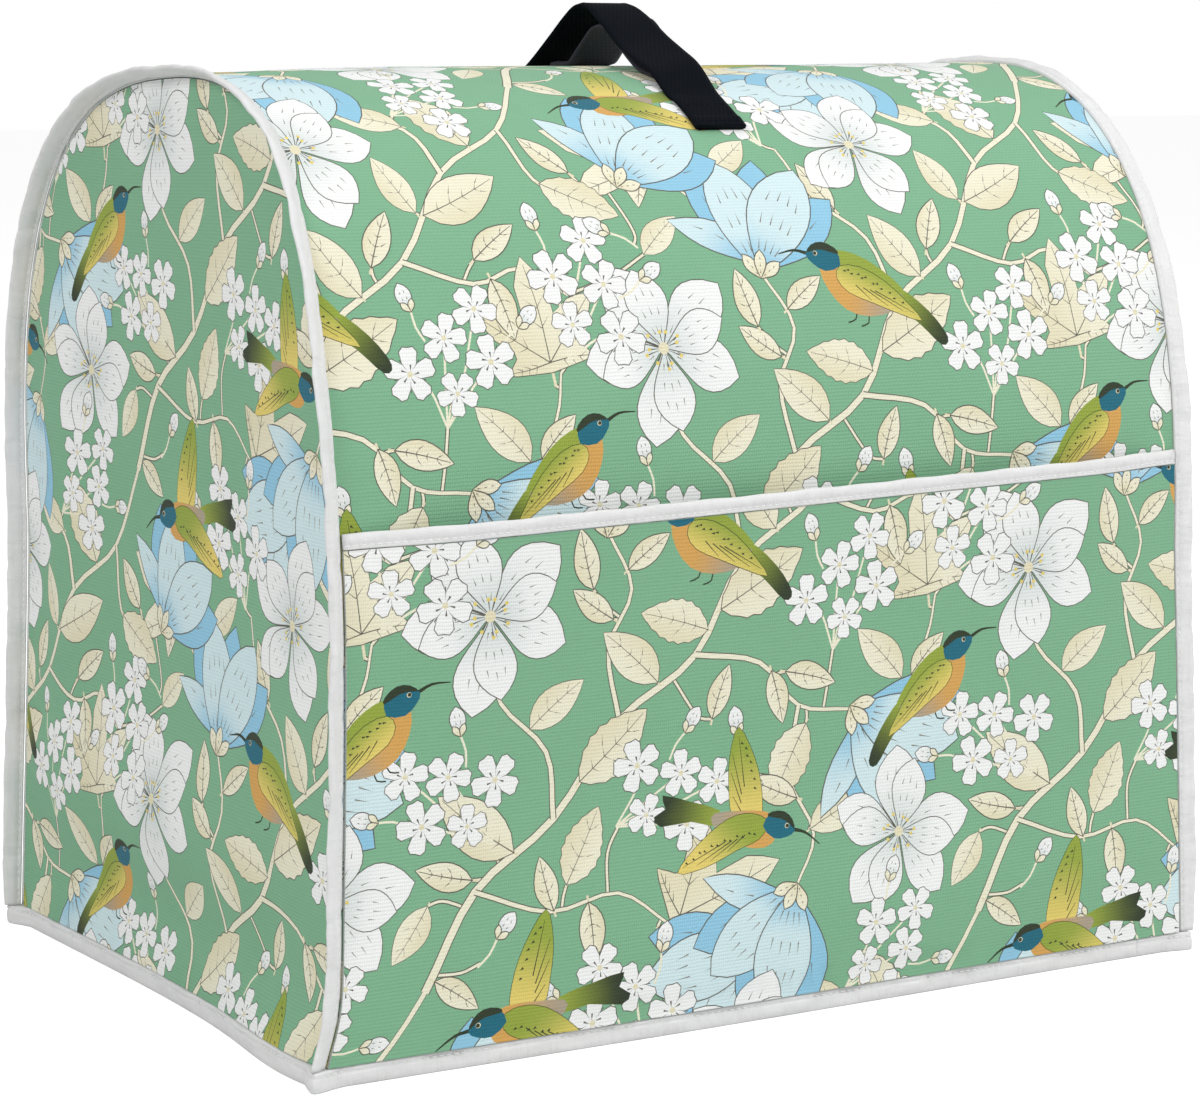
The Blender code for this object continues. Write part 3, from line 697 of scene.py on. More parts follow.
@dataclass
class CoverForm:
    """The shape in which the cover hangs, in metres. Its sizes are those of the solids."""

    width: float = 0.420
    depth: float = 0.310
    height: float = 0.399
    crown_rise: float = 0.214
    crown_power: float = 2.6
    flare_x: float = 0.0055
    flare_y: float = 0.0041
    cloth: float = 0.0016
    gap: float = 0.0004
    hem_tall: float = 0.0084
    middle_x: float = -0.0023
    middle_y: float = -0.0016
    floor_ease: float = 0.040
    arch_steps: int = 1200
    arch_step: float = 0.002
    arch_y: Array = field(init=False)
    arch_z: Array = field(init=False)
    arch_s: Array = field(init=False)

    def __post_init__(self) -> None:
        """Works out the side outline from the front hem over the top to the back hem."""
        turn = np.linspace(0.0, math.pi, self.arch_steps)
        power = 2.0 / self.crown_power
        y = -self.depth / 2 * np.sign(np.cos(turn)) * np.abs(np.cos(turn)) ** power
        z = self.spring + self.crown_rise * np.clip(np.sin(turn), 0.0, 1.0) ** power
        self.arch_y = np.concatenate(([-self.depth / 2], y, [self.depth / 2]))
        self.arch_z = np.concatenate(([0.0], z, [0.0]))
        steps = np.hypot(np.diff(self.arch_y), np.diff(self.arch_z))
        length = np.concatenate(([0.0], np.cumsum(steps)))
        self.arch_s = length - length[-1] / 2

    @property
    def spring(self) -> float:
        """Height where the straight walls turn into the crown."""
        return self.height - self.crown_rise

    @property
    def panel_foot(self) -> float:
        """Height where the cloth comes out of the hem's binding."""
        return self.hem_tall + self.gap

    def front_along(self, z: Array) -> Array:
        """Place along the arch where its front stands at height z."""
        front = self.arch_s <= 0.0
        return np.interp(z, self.arch_z[front], self.arch_s[front])

    def top_along(self, y: Array) -> Array:
        """Place along the arch where its top lies at depth y."""
        return np.interp(y, self.arch_y[1:-1], self.arch_s[1:-1])

    def arch_point(self, along: Array, out: Array) -> tuple:
        """The outline's y and z at a place along it, moved out from the cloth's outer face.

        Args:
            along: How far along the arch, from its top.
            out: How far out.

        Returns:
            The y and the z.
        """
        y = np.interp(along, self.arch_s, self.arch_y)
        z = np.interp(along, self.arch_s, self.arch_z)
        ahead, behind = along + self.arch_step, along - self.arch_step
        run_y = np.interp(ahead, self.arch_s, self.arch_y) - np.interp(behind, self.arch_s, self.arch_y)
        run_z = np.interp(ahead, self.arch_s, self.arch_z) - np.interp(behind, self.arch_s, self.arch_z)
        run = np.hypot(run_y, run_z)
        return y - run_z / run * out, z + run_y / run * out

    def flared(self, side: Array, aside: Array, y: Array, z: Array) -> tuple:
        """A point before it settles: side is -1 to 1 across the width, aside is added to it.

        Args:
            side: The share across the width.
            aside: How far to the right of that.
            y: Its depth.
            z: Its height.

        Returns:
            The x, y and z.
        """
        low = np.clip(1.0 - z / self.spring, 0.0, 1.0)
        x = side * (self.width / 2 + self.flare_x * low) + aside
        return x, y + np.clip(y / (self.depth / 2), -1.0, 1.0) * self.flare_y * low, z

    def settle(self, x: Array, y: Array, z: Array) -> Array:
        """Moves points as the soft cloth slumps and bulges, and leaves the floor flat.

        Args:
            x: Their places to the right.
            y: Their depths.
            z: Their heights.

        Returns:
            The points, with x, y and z last.
        """
        moved = [np.array(value, float) for value in (x, y, z)]
        floor_ease = np.clip(np.asarray(z, float) / self.floor_ease, 0.0, 1.0)
        for push in PUSHES:
            far = sum(((value - middle) / reach) ** 2
                      for value, middle, reach in zip((x, y, z), push.centre, push.reach))
            weight = np.exp(-far)
            moved[0] = moved[0] + weight * push.move[0]
            moved[1] = moved[1] + weight * push.move[1]
            moved[2] = moved[2] + weight * push.move[2] * floor_ease
        return np.stack((moved[0] - self.middle_x, moved[1] - self.middle_y, moved[2]), axis=-1)

    def shell(self, side: Array, along: Array, out: Array, aside: float = 0.0) -> Array:
        """Settled points on or off the band: side across it, along the arch, out from its outer face."""
        y, z = self.arch_point(along, out)
        return self.settle(*self.flared(side, aside, y, z))


def ease(part: Array) -> Array:
    """Soft step from 0 to 1."""
    part = np.clip(part, 0.0, 1.0)
    return part * part * (3.0 - 2.0 * part)


class Crease(NamedTuple):
    """A soft fold in a panel, in its flat millimetres: middle, direction, half length, half width, rise."""

    x: float
    y: float
    degrees: float
    long: float
    wide: float
    rise: float


def folds(*rows: Sequence[float]) -> tuple:
    """Creases from rows of their six numbers."""
    return tuple(Crease(*row) for row in rows)


def crease_rise(creases: Sequence[Crease], x: Array, y: Array) -> Array:
    """How far the folds lift a panel at flat places, in metres.

    Args:
        creases: The folds.
        x: Flat places across, in millimetres.
        y: Flat places upward, in millimetres.

    Returns:
        The lift at each place.
    """
    total = np.zeros(np.broadcast(x, y).shape)
    for crease in creases:
        turn = math.radians(crease.degrees)
        run = (x - crease.x) * math.cos(turn) + (y - crease.y) * math.sin(turn)
        off = (y - crease.y) * math.cos(turn) - (x - crease.x) * math.sin(turn)
        total = total + crease.rise * MM * np.exp(-(run / crease.long) ** 2 - (off / crease.wide) ** 2)
    return total


def pucker(from_seam: Array, along: Array, rise: float, reach: float = 16.0) -> Array:
    """Small gathers beside a seam.

    Args:
        from_seam: Distance from the seam in millimetres.
        along: Place along the seam in millimetres.
        rise: Their height in millimetres.
        reach: How far from the seam they fade, in millimetres.

    Returns:
        How far the cloth is lifted, in metres.
    """
    wave = np.sin(along / 4.3 + 1.6 * np.sin(along / 21.0)) + 0.6 * np.sin(along / 7.9 + 2.0)
    near = ease(from_seam / 5.0) * np.exp(-(from_seam / reach) ** 2)
    return rise * MM * wave * near


def waves(along: Array, parts: Sequence[tuple]) -> Array:
    """A sum of sine waves along a line, each with its height, its pace and its start."""
    return sum(height * np.sin(along * pace + start) for height, pace, start in parts)


def gathers(along: Array, across: Array, first: int) -> Array:
    """The narrow slanting pinches of a sewn tape, from 0 to 1.

    Args:
        along: How far along the tape, in metres.
        across: How far across it, in metres.
        first: Sets where the pinches fall.

    Returns:
        How deep the tape is pinched at each place.
    """
    depth = np.zeros(np.broadcast(along, across).shape)
    place = float(along.min())
    for count in range(first, first + 90):
        uneven = (count * 0.618) % 1.0
        place += 0.012 + 0.034 * uneven
        slant = 0.5 * math.sin(count * 2.4)
        wide = 0.0016 + 0.0012 * ((count * 0.37) % 1.0)
        depth += (0.4 + 0.6 * uneven) * np.exp(-((along - place - slant * across) / wide) ** 2)
    return np.minimum(depth, 1.0)


def new_object(name: str, points: Array, faces: Sequence) -> Object:
    """A mesh object at the origin, linked to the scene.

    Args:
        name: Its name.
        points: Its vertices.
        faces: The vertex numbers of each face.

    Returns:
        The object, shaded smooth.
    """
    mesh = bpy.data.meshes.new(name)
    mesh.from_pydata(np.asarray(points, float).tolist(), [], [list(face) for face in faces])
    mesh.shade_smooth()
    made = bpy.data.objects.new(name, mesh)
    bpy.context.scene.collection.objects.link(made)
    return made


def set_map(mesh: Mesh, name: str, places: Array) -> None:
    """Gives a mesh a UV map from one place for each vertex.

    Args:
        mesh: The mesh.
        name: The map's name.
        places: The places, in the vertices' order.
    """
    corners = np.empty(len(mesh.loops), int)
    mesh.loops.foreach_get("vertex_index", corners)
    layer = mesh.uv_layers.new(name=name, do_init=False)
    layer.uv.foreach_set("vector", places[corners].astype(np.float32).ravel())


def net(low: Sequence, high: Sequence, across: float, upward: float) -> list:
    """A plain net of guides over a rectangle.

    Args:
        low: Its lowest corner.
        high: Its highest corner.
        across: The step from one upright guide to the next.
        upward: The step from one level guide to the next.

    Returns:
        Pairs of places, the upright guides first.
    """
    return ([((x, low[1]), (x, high[1])) for x in np.arange(low[0], high[0], across)[1:]]
            + [((low[0], y), (high[0], y)) for y in np.arange(low[1], high[1], upward)[1:]])


@dataclass
class Panel:
    """A piece of printed cloth, cut flat in millimetres and bent to where it hangs.

    The bend takes flat x and y in millimetres and a distance out of the cloth's face in metres.
    """

    name: str
    outline: Array
    guides: list
    bend: Callable[[Array, Array, float], Array]
    shift: tuple
    thick: float
    edge_step: float = 6.0
    lining_step: float = 14.0
    probe: float = 0.5
    slack: float = 0.02
    merge: float = 1e-5
    bake_share: float = 0.86
    bake_margin: float = 0.01

    def edge(self) -> Array:
        """The outline with points close enough together to follow the bend."""
        made = []
        for start, end in zip(self.outline, np.roll(self.outline, -1, axis=0)):
            count = max(1, round(float(np.linalg.norm(end - start)) / self.edge_step))
            made.append(start + (end - start) * np.linspace(0.0, 1.0, count, endpoint=False)[:, None])
        return counterclockwise(np.vstack(made))

    def plain_triangles(self, guides: Sequence) -> tuple:
        """Cuts the flat panel into triangles along guides.

        Args:
            guides: Pairs of places that are joined by an edge.

        Returns:
            The flat points and the triangles.
        """
        ring = self.edge()
        count = len(ring)
        lines = np.array(guides, float).reshape(-1, 2)
        points = [Vector(place) for place in np.vstack((ring, lines)).tolist()]
        edges = [(count + 2 * step, count + 2 * step + 1) for step in range(len(lines) // 2)]
        found = delaunay_2d_cdt(points, edges, [list(range(count))], 0, self.merge, True)
        flat = np.array([tuple(place) for place in found[0]])
        return flat, np.array([triangle for triangle, owners in zip(found[2], found[5]) if owners])

    def inked_triangles(self, patches: Sequence[Patch]) -> tuple:
        """Cuts the flat panel into triangles along its guides and the edges of ink that show.

        Args:
            patches: The ink that lies on it.

        Returns:
            The flat points, the triangles, and for each the number of the top patch, or -1 for none.
        """
        rings = [self.edge()] + [patch.outline for patch in patches]
        starts = np.cumsum([0] + [len(ring) for ring in rings])
        faces = [list(range(start, start + len(ring))) for start, ring in zip(starts, rings)]
        points = [Vector(place) for place in np.vstack(rings).tolist()]
        found = delaunay_2d_cdt(points, [], faces, 0, self.merge, True)
        kept = [(triangle, max(owners) - 1) for triangle, owners in zip(found[2], found[5]) if 0 in owners]
        every = np.array([tuple(place) for place in found[0]])
        laid = np.array([triangle for triangle, _ in kept])
        tops = np.array([top for _, top in kept])
        borders = self.straightened(every, self.borders(laid, tops, patches))
        flat, triangles = self.plain_triangles(np.concatenate((self.guides, every[borders])))
        below = BVHTree.FromPolygons(np.pad(every, ((0, 0), (0, 1))).tolist(), laid.tolist())
        middles = np.pad(flat[triangles].mean(axis=1), ((0, 0), (0, 1)), constant_values=1.0)
        hits = [below.ray_cast(Vector(middle), Vector((0.0, 0.0, -1.0)))[2] for middle in middles.tolist()]
        return flat, triangles, np.array([-1 if hit is None else tops[hit] for hit in hits])

    def straightened(self, places: Array, edges: Array) -> Array:
        """The same lines without the points that lie straight between their two neighbours.

        Args:
            places: The flat points.
            edges: Pairs of point numbers.

        Returns:
            The edges that are left.
        """
        joined = {}
        for one, other in edges.tolist():
            joined.setdefault(one, set()).add(other)
            joined.setdefault(other, set()).add(one)
        spots = places.tolist()
        for here in list(joined):
            if len(joined[here]) != 2:
                continue
            one, other = joined[here]
            run = (spots[other][0] - spots[one][0], spots[other][1] - spots[one][1])
            off = (spots[here][0] - spots[one][0], spots[here][1] - spots[one][1])
            if other in joined[one] or abs(run[0] * off[1] - run[1] * off[0]) > self.slack * math.hypot(*run):
                continue
            del joined[here]
            joined[one] = joined[one] - {here} | {other}
            joined[other] = joined[other] - {here} | {one}
        return np.array([(one, other) for one, others in joined.items() for other in others if one < other])

    def borders(self, triangles: Array, tops: Array, patches: Sequence[Patch]) -> Array:
        """The edges between triangles that show different ink.

        Args:
            triangles: The triangles.
            tops: The number of the patch that shows on each.
            patches: The ink.

        Returns:
            The edges, as pairs of point numbers.
        """
        inks = list(Ink)
        plain = [inks.index(patch.ink) if patch.ink is patch.fade else len(inks) + index
                 for index, patch in enumerate(patches)] + [inks.index(Ink.GROUND)]
        shown = np.array(plain)[tops]
        pairs = np.sort(np.concatenate([triangles[:, pair] for pair in ([0, 1], [1, 2], [2, 0])]), axis=1)
        owner = np.tile(shown, 3)
        order = np.lexsort((pairs[:, 1], pairs[:, 0]))
        pairs, owner = pairs[order], owner[order]
        meeting = np.all(pairs[1:] == pairs[:-1], axis=1) & (owner[1:] != owner[:-1])
        return pairs[:-1][meeting]

    def face(self, flat: Array, out: float) -> tuple:
        """Bent places of flat ones, and the way that the cloth faces there.

        Args:
            flat: The flat places.
            out: How far out of the cloth's face.

        Returns:
            The places and one unit vector for each.
        """
        x, y = flat[:, 0], flat[:, 1]
        places = self.bend(x, y, out)
        across = self.bend(x + self.probe, y, out) - self.bend(x - self.probe, y, out)
        upward = self.bend(x, y + self.probe, out) - self.bend(x, y - self.probe, out)
        facing = np.cross(across, upward)
        outward = self.bend(x, y, out + MM) - places
        facing *= np.where(np.sum(facing * outward, axis=1, keepdims=True) < 0, -1.0, 1.0)
        return places, facing / np.linalg.norm(facing, axis=1, keepdims=True)

    def build(self, drawing: BotanicalPrint, looks: Sequence[Material]) -> Object:
        """Makes the printed face, the plain back of the cloth and the cut edge between them.

        Args:
            drawing: The print.
            looks: The materials of the face and of the back.

        Returns:
            The panel, as one object.
        """
        low, high = self.outline.min(axis=0), self.outline.max(axis=0)
        patches = drawing.over(low, high, self.shift)
        flat, front, tops = self.inked_triangles(patches)
        places, facing = self.face(flat, 0.0)
        lining_flat, back = self.plain_triangles(net(low, high, 2 * self.lining_step, self.lining_step))
        lining, inward = self.face(lining_flat, -self.thick)
        rim = self.edge()
        count = len(rim)
        rim_outer, rim_inner = self.face(rim, 0.0)[0], self.face(rim, -self.thick)[0]
        first = len(flat) + len(lining_flat)
        ahead = (np.arange(count) + 1) % count
        strip = np.stack((first + np.arange(count), first + ahead, first + count + ahead,
                          first + count + np.arange(count)), axis=1)
        if self.faces_in(places, front, facing):
            front = front[:, ::-1]
        else:
            back = back[:, ::-1]
            strip = strip[:, ::-1]
        points = np.vstack((places, lining, rim_outer, rim_inner))
        faces = front.tolist() + (back + len(flat)).tolist() + strip.tolist()
        made = new_object(self.name, points, faces)
        mesh = made.data
        for look in looks:
            mesh.materials.append(look)
        kinds = np.concatenate((np.zeros(len(front), int), np.ones(len(back) + len(strip), int)))
        mesh.polygons.foreach_set("material_index", kinds)
        self.ink(mesh, flat, front, tops, patches)
        all_flat = np.vstack((flat, lining_flat, rim, rim))
        set_map(mesh, BAKE_MAP, self.bake_places(all_flat, len(flat), low, high))
        set_map(mesh, THREAD_MAP, all_flat * MM)
        normals = np.vstack((facing, -inward, np.zeros((2 * count, 3))))
        mesh.normals_split_custom_set_from_vertices(normals.tolist())
        LOG.info("%s: %d triangles, %d patches of ink", self.name, len(front) + len(back), len(patches))
        return made

    def faces_in(self, places: Array, triangles: Array, facing: Array) -> bool:
        """Whether the bend turns counterclockwise triangles to face into the cover."""
        a, b, c = (places[triangles[:, corner]] for corner in range(3))
        return float(np.sum(np.cross(b - a, c - a) * facing[triangles[:, 0]])) < 0

    def ink(self, mesh: Mesh, flat: Array, front: Array, tops: Array,
            patches: Sequence[Patch]) -> None:
        """Writes the print's colour at each corner of the printed face.

        Args:
            mesh: The panel's mesh.
            flat: The flat points of its printed face.
            front: That face's triangles.
            tops: The patch that shows on each, or -1 for none.
            patches: The ink.
        """
        inks = [(patch.ink.linear, patch.fade.linear) for patch in patches] + [(Ink.GROUND.linear,) * 2]
        here, there = (np.array([pair[side] for pair in inks]) for side in range(2))
        start = np.array([patch.start for patch in patches] + [(0.0, 0.0)])
        run = np.array([patch.end - patch.start for patch in patches] + [(0.0, 1.0)])
        run = run / np.sum(run ** 2, axis=1, keepdims=True)
        top = np.where(tops < 0, len(patches), tops)[:, None]
        share = np.sum((flat[front] - start[top]) * run[top], axis=2)
        share = ease(share)[:, :, None]
        colours = here[top] * (1.0 - share) + there[top] * share
        every = np.ones((len(mesh.loops), 4), np.float32)
        every[:colours.shape[0] * 3, :3] = colours.reshape(-1, 3)
        layer = mesh.color_attributes.new(PRINT_LAYER, "FLOAT_COLOR", "CORNER")
        layer.data.foreach_set("color", every.ravel())

    def bake_places(self, flat: Array, printed: int, low: Array, high: Array) -> Array:
        """Places for baking: the printed face on the left, the back in a strip on the right.

        Args:
            flat: Every vertex's flat place.
            printed: How many of them are on the printed face.
            low: The panel's lowest corner.
            high: Its highest corner.

        Returns:
            A place for each vertex.
        """
        margin, used = self.bake_margin, 1.0 - 2 * self.bake_margin
        share = (flat - low) / (high - low) * used + margin
        share[:printed, 0] *= self.bake_share
        share[printed:, 0] = self.bake_share + margin + share[printed:, 0] * (used - self.bake_share)
        return share


@dataclass
class MainBand:
    """The long strip that makes the front, the top and the back."""

    form: CoverForm
    row_step: float = 12.0
    column_step: float = 30.0
    edge_rows: float = 6.0
    edge_reach: float = 24.0
    edge_columns: tuple = (5.0, 11.0, 17.0)
    covered_below: float = 0.225
    gathered: float = 0.24
    shift: tuple = (-86.0, -640.0)
    creases: tuple = folds(
        (-120, -236, 12, 70, 15, 0.7), (40, -250, -8, 90, 20, -0.6), (140, -190, 60, 60, 16, 0.7),
        (-150, -130, -50, 50, 15, -0.8), (-60, -60, 78, 60, 18, 0.5), (120, -40, 100, 55, 16, -0.6),
        (-100, 90, 30, 70, 18, 0.8), (90, 150, -25, 80, 20, 0.8), (-60, 290, 80, 70, 18, 0.9),
        (60, 330, 95, 80, 20, -0.9), (-130, 380, 60, 60, 16, 0.7),
    )

    def bend(self, x: Array, y: Array, out: float) -> Array:
        """Carries flat millimetres of the strip to where it hangs.

        Args:
            x: Flat places across.
            y: Flat places upward.
            out: How far out of the cloth's face.

        Returns:
            The settled points.
        """
        half = self.form.width / 2
        covered = ease((y - float(self.form.front_along(self.covered_below)) / MM) / 20.0)
        lift = crease_rise(self.creases, x, y) + pucker(half / MM - np.abs(x), y, self.gathered)
        ends = ease((-float(self.form.front_along(self.form.panel_foot)) / MM - np.abs(y)) / 10.0)
        return self.form.shell(x * MM / half, y * MM, out + lift * covered * ends)

    def build(self, drawing: BotanicalPrint, looks: Sequence[Material]) -> Object:
        """Cuts, prints and bends the strip.

        Args:
            drawing: The print.
            looks: The materials of the face and of the back.

        Returns:
            The finished piece.
        """
        half = self.form.width / 2 / MM
        foot = float(self.form.front_along(self.form.panel_foot)) / MM
        outline = np.array(((-half, foot), (half, foot), (half, -foot), (-half, -foot)))
        rows = np.arange(foot, -foot, self.row_step)[1:]
        guides = [((-half, y), (half, y)) for y in rows]
        guides += [((x, foot), (x, -foot)) for x in np.arange(-half, half, self.column_step)[1:]]
        for y in rows + self.edge_rows:
            guides += [((side * half, y), (side * (half - self.edge_reach), y)) for side in (-1, 1)]
        for inset in self.edge_columns:
            guides += [((side * (half - inset), foot), (side * (half - inset), -foot)) for side in (-1, 1)]
        panel = Panel("printed_main_band", outline, guides, self.bend, self.shift, self.form.cloth)
        made = panel.build(drawing, looks)
        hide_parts("main_band")
        return made


@dataclass
class SidePanel:
    """An arch-shaped end panel. Its side is -1 for the left one and 1 for the right one."""

    form: CoverForm
    name: str
    side: int
    shift: tuple
    creases: tuple
    step: float = 16.0
    edge_points: int = 70
    gathered: float = 0.22

    def bend(self, x: Array, y: Array, out: float) -> Array:
        """Carries flat millimetres of the panel to where it hangs. Flat x runs right, seen from outside.

        Args:
            x: Flat places across.
            y: Flat places upward.
            out: How far out of the cloth's face.

        Returns:
            The settled points.
        """
        depthwise, high = x * self.side * MM, y * MM
        along = self.form.front_along(high)
        near = (np.interp(along, self.form.arch_s, np.abs(self.form.arch_y)) - np.abs(depthwise)) / MM
        lift = crease_rise(self.creases, x, y) * ease(near / 14.0) + pucker(near, y, self.gathered)
        lift = lift * ease((y - self.form.panel_foot / MM) / 10.0)
        return self.form.settle(*self.form.flared(self.side, self.side * (out + lift), depthwise, high))

    def outline(self) -> Array:
        """The arch as it is cut, a little smaller than the strip that is sewn round it."""
        start = float(self.form.front_along(self.form.panel_foot))
        along = np.linspace(start, -start, self.edge_points)
        y, z = self.form.arch_point(along, -self.form.cloth - self.form.gap)
        return np.stack((y * self.side, z), axis=1) / MM

    def build(self, drawing: BotanicalPrint, looks: Sequence[Material]) -> Object:
        """Cuts, prints and bends the panel.

        Args:
            drawing: The print.
            looks: The materials of the face and of the back.

        Returns:
            The finished piece.
        """
        outline = self.outline()
        low, high = outline.min(axis=0), outline.max(axis=0)
        guides = net(low, high, self.step, self.step)
        panel = Panel(f"printed_{self.name}", outline, guides, self.bend, self.shift, self.form.cloth)
        made = panel.build(drawing, looks)
        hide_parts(self.name)
        return made


@dataclass
class Pocket:
    """The flat pocket over the front's lower half."""

    form: CoverForm
    left_tall: float = 0.2135
    right_tall: float = 0.2230
    slack: float = 0.0090
    seam: float = 0.0012
    ease_x: float = 0.055
    fall: float = 2.0
    tape: float = 0.0064
    column_step: float = 11.0
    row_step: float = 14.0
    shift: tuple = (-178.0, 38.0)
    creases: tuple = folds(
        (-150, 150, 80, 60, 14, 0.9), (-60, 120, 100, 70, 18, 0.8), (30, 90, 70, 60, 20, 0.7),
        (120, 140, 95, 60, 16, 0.9), (0, 46, 0, 170, 34, 3.6),
    )

    def stand_off(self, side: Array, z: Array) -> Array:
        """How far the pocket stands off the front, which leaves it open in its middle.

        Args:
            side: The share across the width, from -1 to 1.
            z: The height.

        Returns:
            The distance at each place.
        """
        from_seam = (1.0 - np.abs(side)) * self.form.width / 2
        share = (z - self.form.hem_tall) / (self.right_tall - self.form.hem_tall)
        return self.slack * ease(from_seam / self.ease_x) * np.clip(share, 0.0, 1.05) ** self.fall

    def mouth(self, side: Array) -> Array:
        """Height of the pocket cloth's upper edge, which slants up to the right."""
        return self.left_tall + (self.right_tall - self.left_tall) * (side + 1.0) / 2

    def place(self, side: Array, z: Array, out: Array) -> Array:
        """Points of the pocket at a height, a distance out from its inner face.

        Args:
            side: The share across the width, from -1 to 1.
            z: The height.
            out: How far out.

        Returns:
            The settled points.
        """
        x, y = side * self.form.width / 2 / MM, z / MM
        near = ease((self.form.width / 2 / MM - np.abs(x)) / 16.0)
        lift = crease_rise(self.creases, x, y) * near * ease((y - 10.0) / 12.0)
        out = self.form.gap + self.stand_off(side, z) + out + np.maximum(lift, 0.0)
        return self.form.shell(side, self.form.front_along(z), out)

    def bend(self, x: Array, y: Array, out: float) -> Array:
        """Carries flat millimetres of the pocket to where it hangs."""
        return self.place(x * MM / (self.form.width / 2), y * MM, self.form.cloth + out)

    def build(self, drawing: BotanicalPrint, looks: Sequence[Material]) -> Object:
        """Cuts, prints and bends the pocket.

        Args:
            drawing: The print.
            looks: The materials of the face and of the back.

        Returns:
            The finished piece.
        """
        half = (self.form.width / 2 - self.seam) / MM
        reach = half * MM / (self.form.width / 2)
        foot = self.form.panel_foot / MM
        tops = [float(self.mouth(side)) / MM for side in (-reach, reach)]
        outline = np.array(((-half, foot), (half, foot), (half, tops[1]), (-half, tops[0])))
        guides = net((-half, foot), (half, tops[1]), self.column_step, self.row_step)
        panel = Panel("printed_pocket", outline, guides, self.bend, self.shift, self.form.cloth)
        made = panel.build(drawing, looks)
        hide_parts("pocket")
        return made


def lengths_along(line: Array) -> Array:
    """How far along a line each of its points is."""
    return np.concatenate(([0.0], np.cumsum(np.linalg.norm(np.diff(line, axis=0), axis=1))))


def ring_faces(rows: int, count: int, closed: bool = False) -> list:
    """The faces that join rings of points.

    Args:
        rows: How many rings there are.
        count: How many points each has.
        closed: Whether the last ring is joined to the first, or else both ends are capped.

    Returns:
        The point numbers of each face.
    """
    faces = []
    for row in range(rows if closed else rows - 1):
        near, far = row * count, (row + 1) % rows * count
        for step in range(count):
            beside = (step + 1) % count
            faces.append((near + step, near + beside, far + beside, far + step))
    if not closed:
        faces += [tuple(range(count))[::-1], tuple(range((rows - 1) * count, rows * count))]
    return faces


def swept(name: str, sections: Array, closed: bool = False) -> Object:
    """A strip that runs through sections of equal count.

    Args:
        name: The object's name.
        sections: An array of sections, each a ring of points.
        closed: Whether the last section is joined to the first, or else both ends are capped.

    Returns:
        The object, with a map that runs along and across it in metres.
    """
    rows, count = sections.shape[:2]
    lengths = lengths_along(np.concatenate((sections[:, 0], sections[:1, 0])))
    rings = np.linalg.norm(np.diff(np.concatenate((sections, sections[:, :1]), axis=1), axis=1), axis=2)
    across = np.concatenate(([0.0], np.cumsum(rings.mean(axis=0))))
    spots = [(lengths[row + ahead], across[step + aside]) for row in range(rows if closed else rows - 1)
             for step in range(count) for ahead, aside in ((0, 0), (0, 1), (1, 1), (1, 0))]
    if not closed:
        spots += [(0.0, place) for place in across[-2::-1]]
        spots += [(lengths[rows - 1], place) for place in across[:-1]]
    made = new_object(name, sections.reshape(-1, 3), ring_faces(rows, count, closed))
    layer = made.data.uv_layers.new(name=THREAD_MAP, do_init=False)
    layer.uv.foreach_set("vector", np.array(spots, np.float32).ravel())
    outwards(made)
    return made


def outwards(made: Object) -> None:
    """Turns a closed mesh's faces outwards, if they all face in.

    Args:
        made: The mesh's object.
    """
    work = bmesh.new()
    work.from_mesh(made.data)
    if work.calc_volume(signed=True) < 0:
        bmesh.ops.reverse_faces(work, faces=work.faces)
        work.to_mesh(made.data)
    work.free()


@dataclass(frozen=True)
class Stitching:
    """A row of machine stitches, in metres: their pitch, length and the thread's radius.

    Each stitch is a short rounded thread whose ends dip into the cloth. The profile gives each of its
    rings: the share along it, the thickness and the rise, both as shares of the radius.
    """

    pitch: float = 0.0034
    length: float = 0.0026
    radius: float = 0.00032
    sides: int = 5
    profile: tuple = ((-0.5, 0.35, -0.7), (-0.34, 0.95, 0.1), (0.34, 0.95, 0.1), (0.5, 0.35, -0.7))

    def build(self, name: str, rows: Sequence[tuple]) -> Object:
        """Lays stitches along lines of points.

        Args:
            name: The object's name.
            rows: Pairs of arrays, a line's points and the way the cloth faces at each.

        Returns:
            All the stitches, as one object.
        """
        turn = 2 * math.pi * np.arange(self.sides)[:, None] / self.sides
        along, thick, rise = np.array(self.profile).T[:, None, :, None, None]
        points = []
        for line, facing in rows:
            lengths = lengths_along(line)
            middles = np.arange(self.pitch / 2, lengths[-1], self.pitch)
            start, end, up = (
                np.stack([np.interp(middles + share * self.length, lengths, given[:, axis])
                          for axis in range(3)], axis=1)[:, None, None]
                for share, given in ((-0.5, line), (0.5, line), (0.0, facing)))
            up = up / np.linalg.norm(up, axis=-1, keepdims=True)
            side = np.cross(end - start, up)
            side /= np.linalg.norm(side, axis=-1, keepdims=True)
            round_it = (side * np.cos(turn) + up * np.sin(turn)) * thick
            laid = (start + end) / 2 + (end - start) * along + (up * rise + round_it) * self.radius
            points.append(laid.reshape(-1, 3))
        points = np.vstack(points)
        one = ring_faces(len(self.profile), self.sides)
        firsts = range(0, len(points), len(self.profile) * self.sides)
        faces = [[first + place for place in face] for first in firsts for face in one]
        return new_object(name, points, faces)


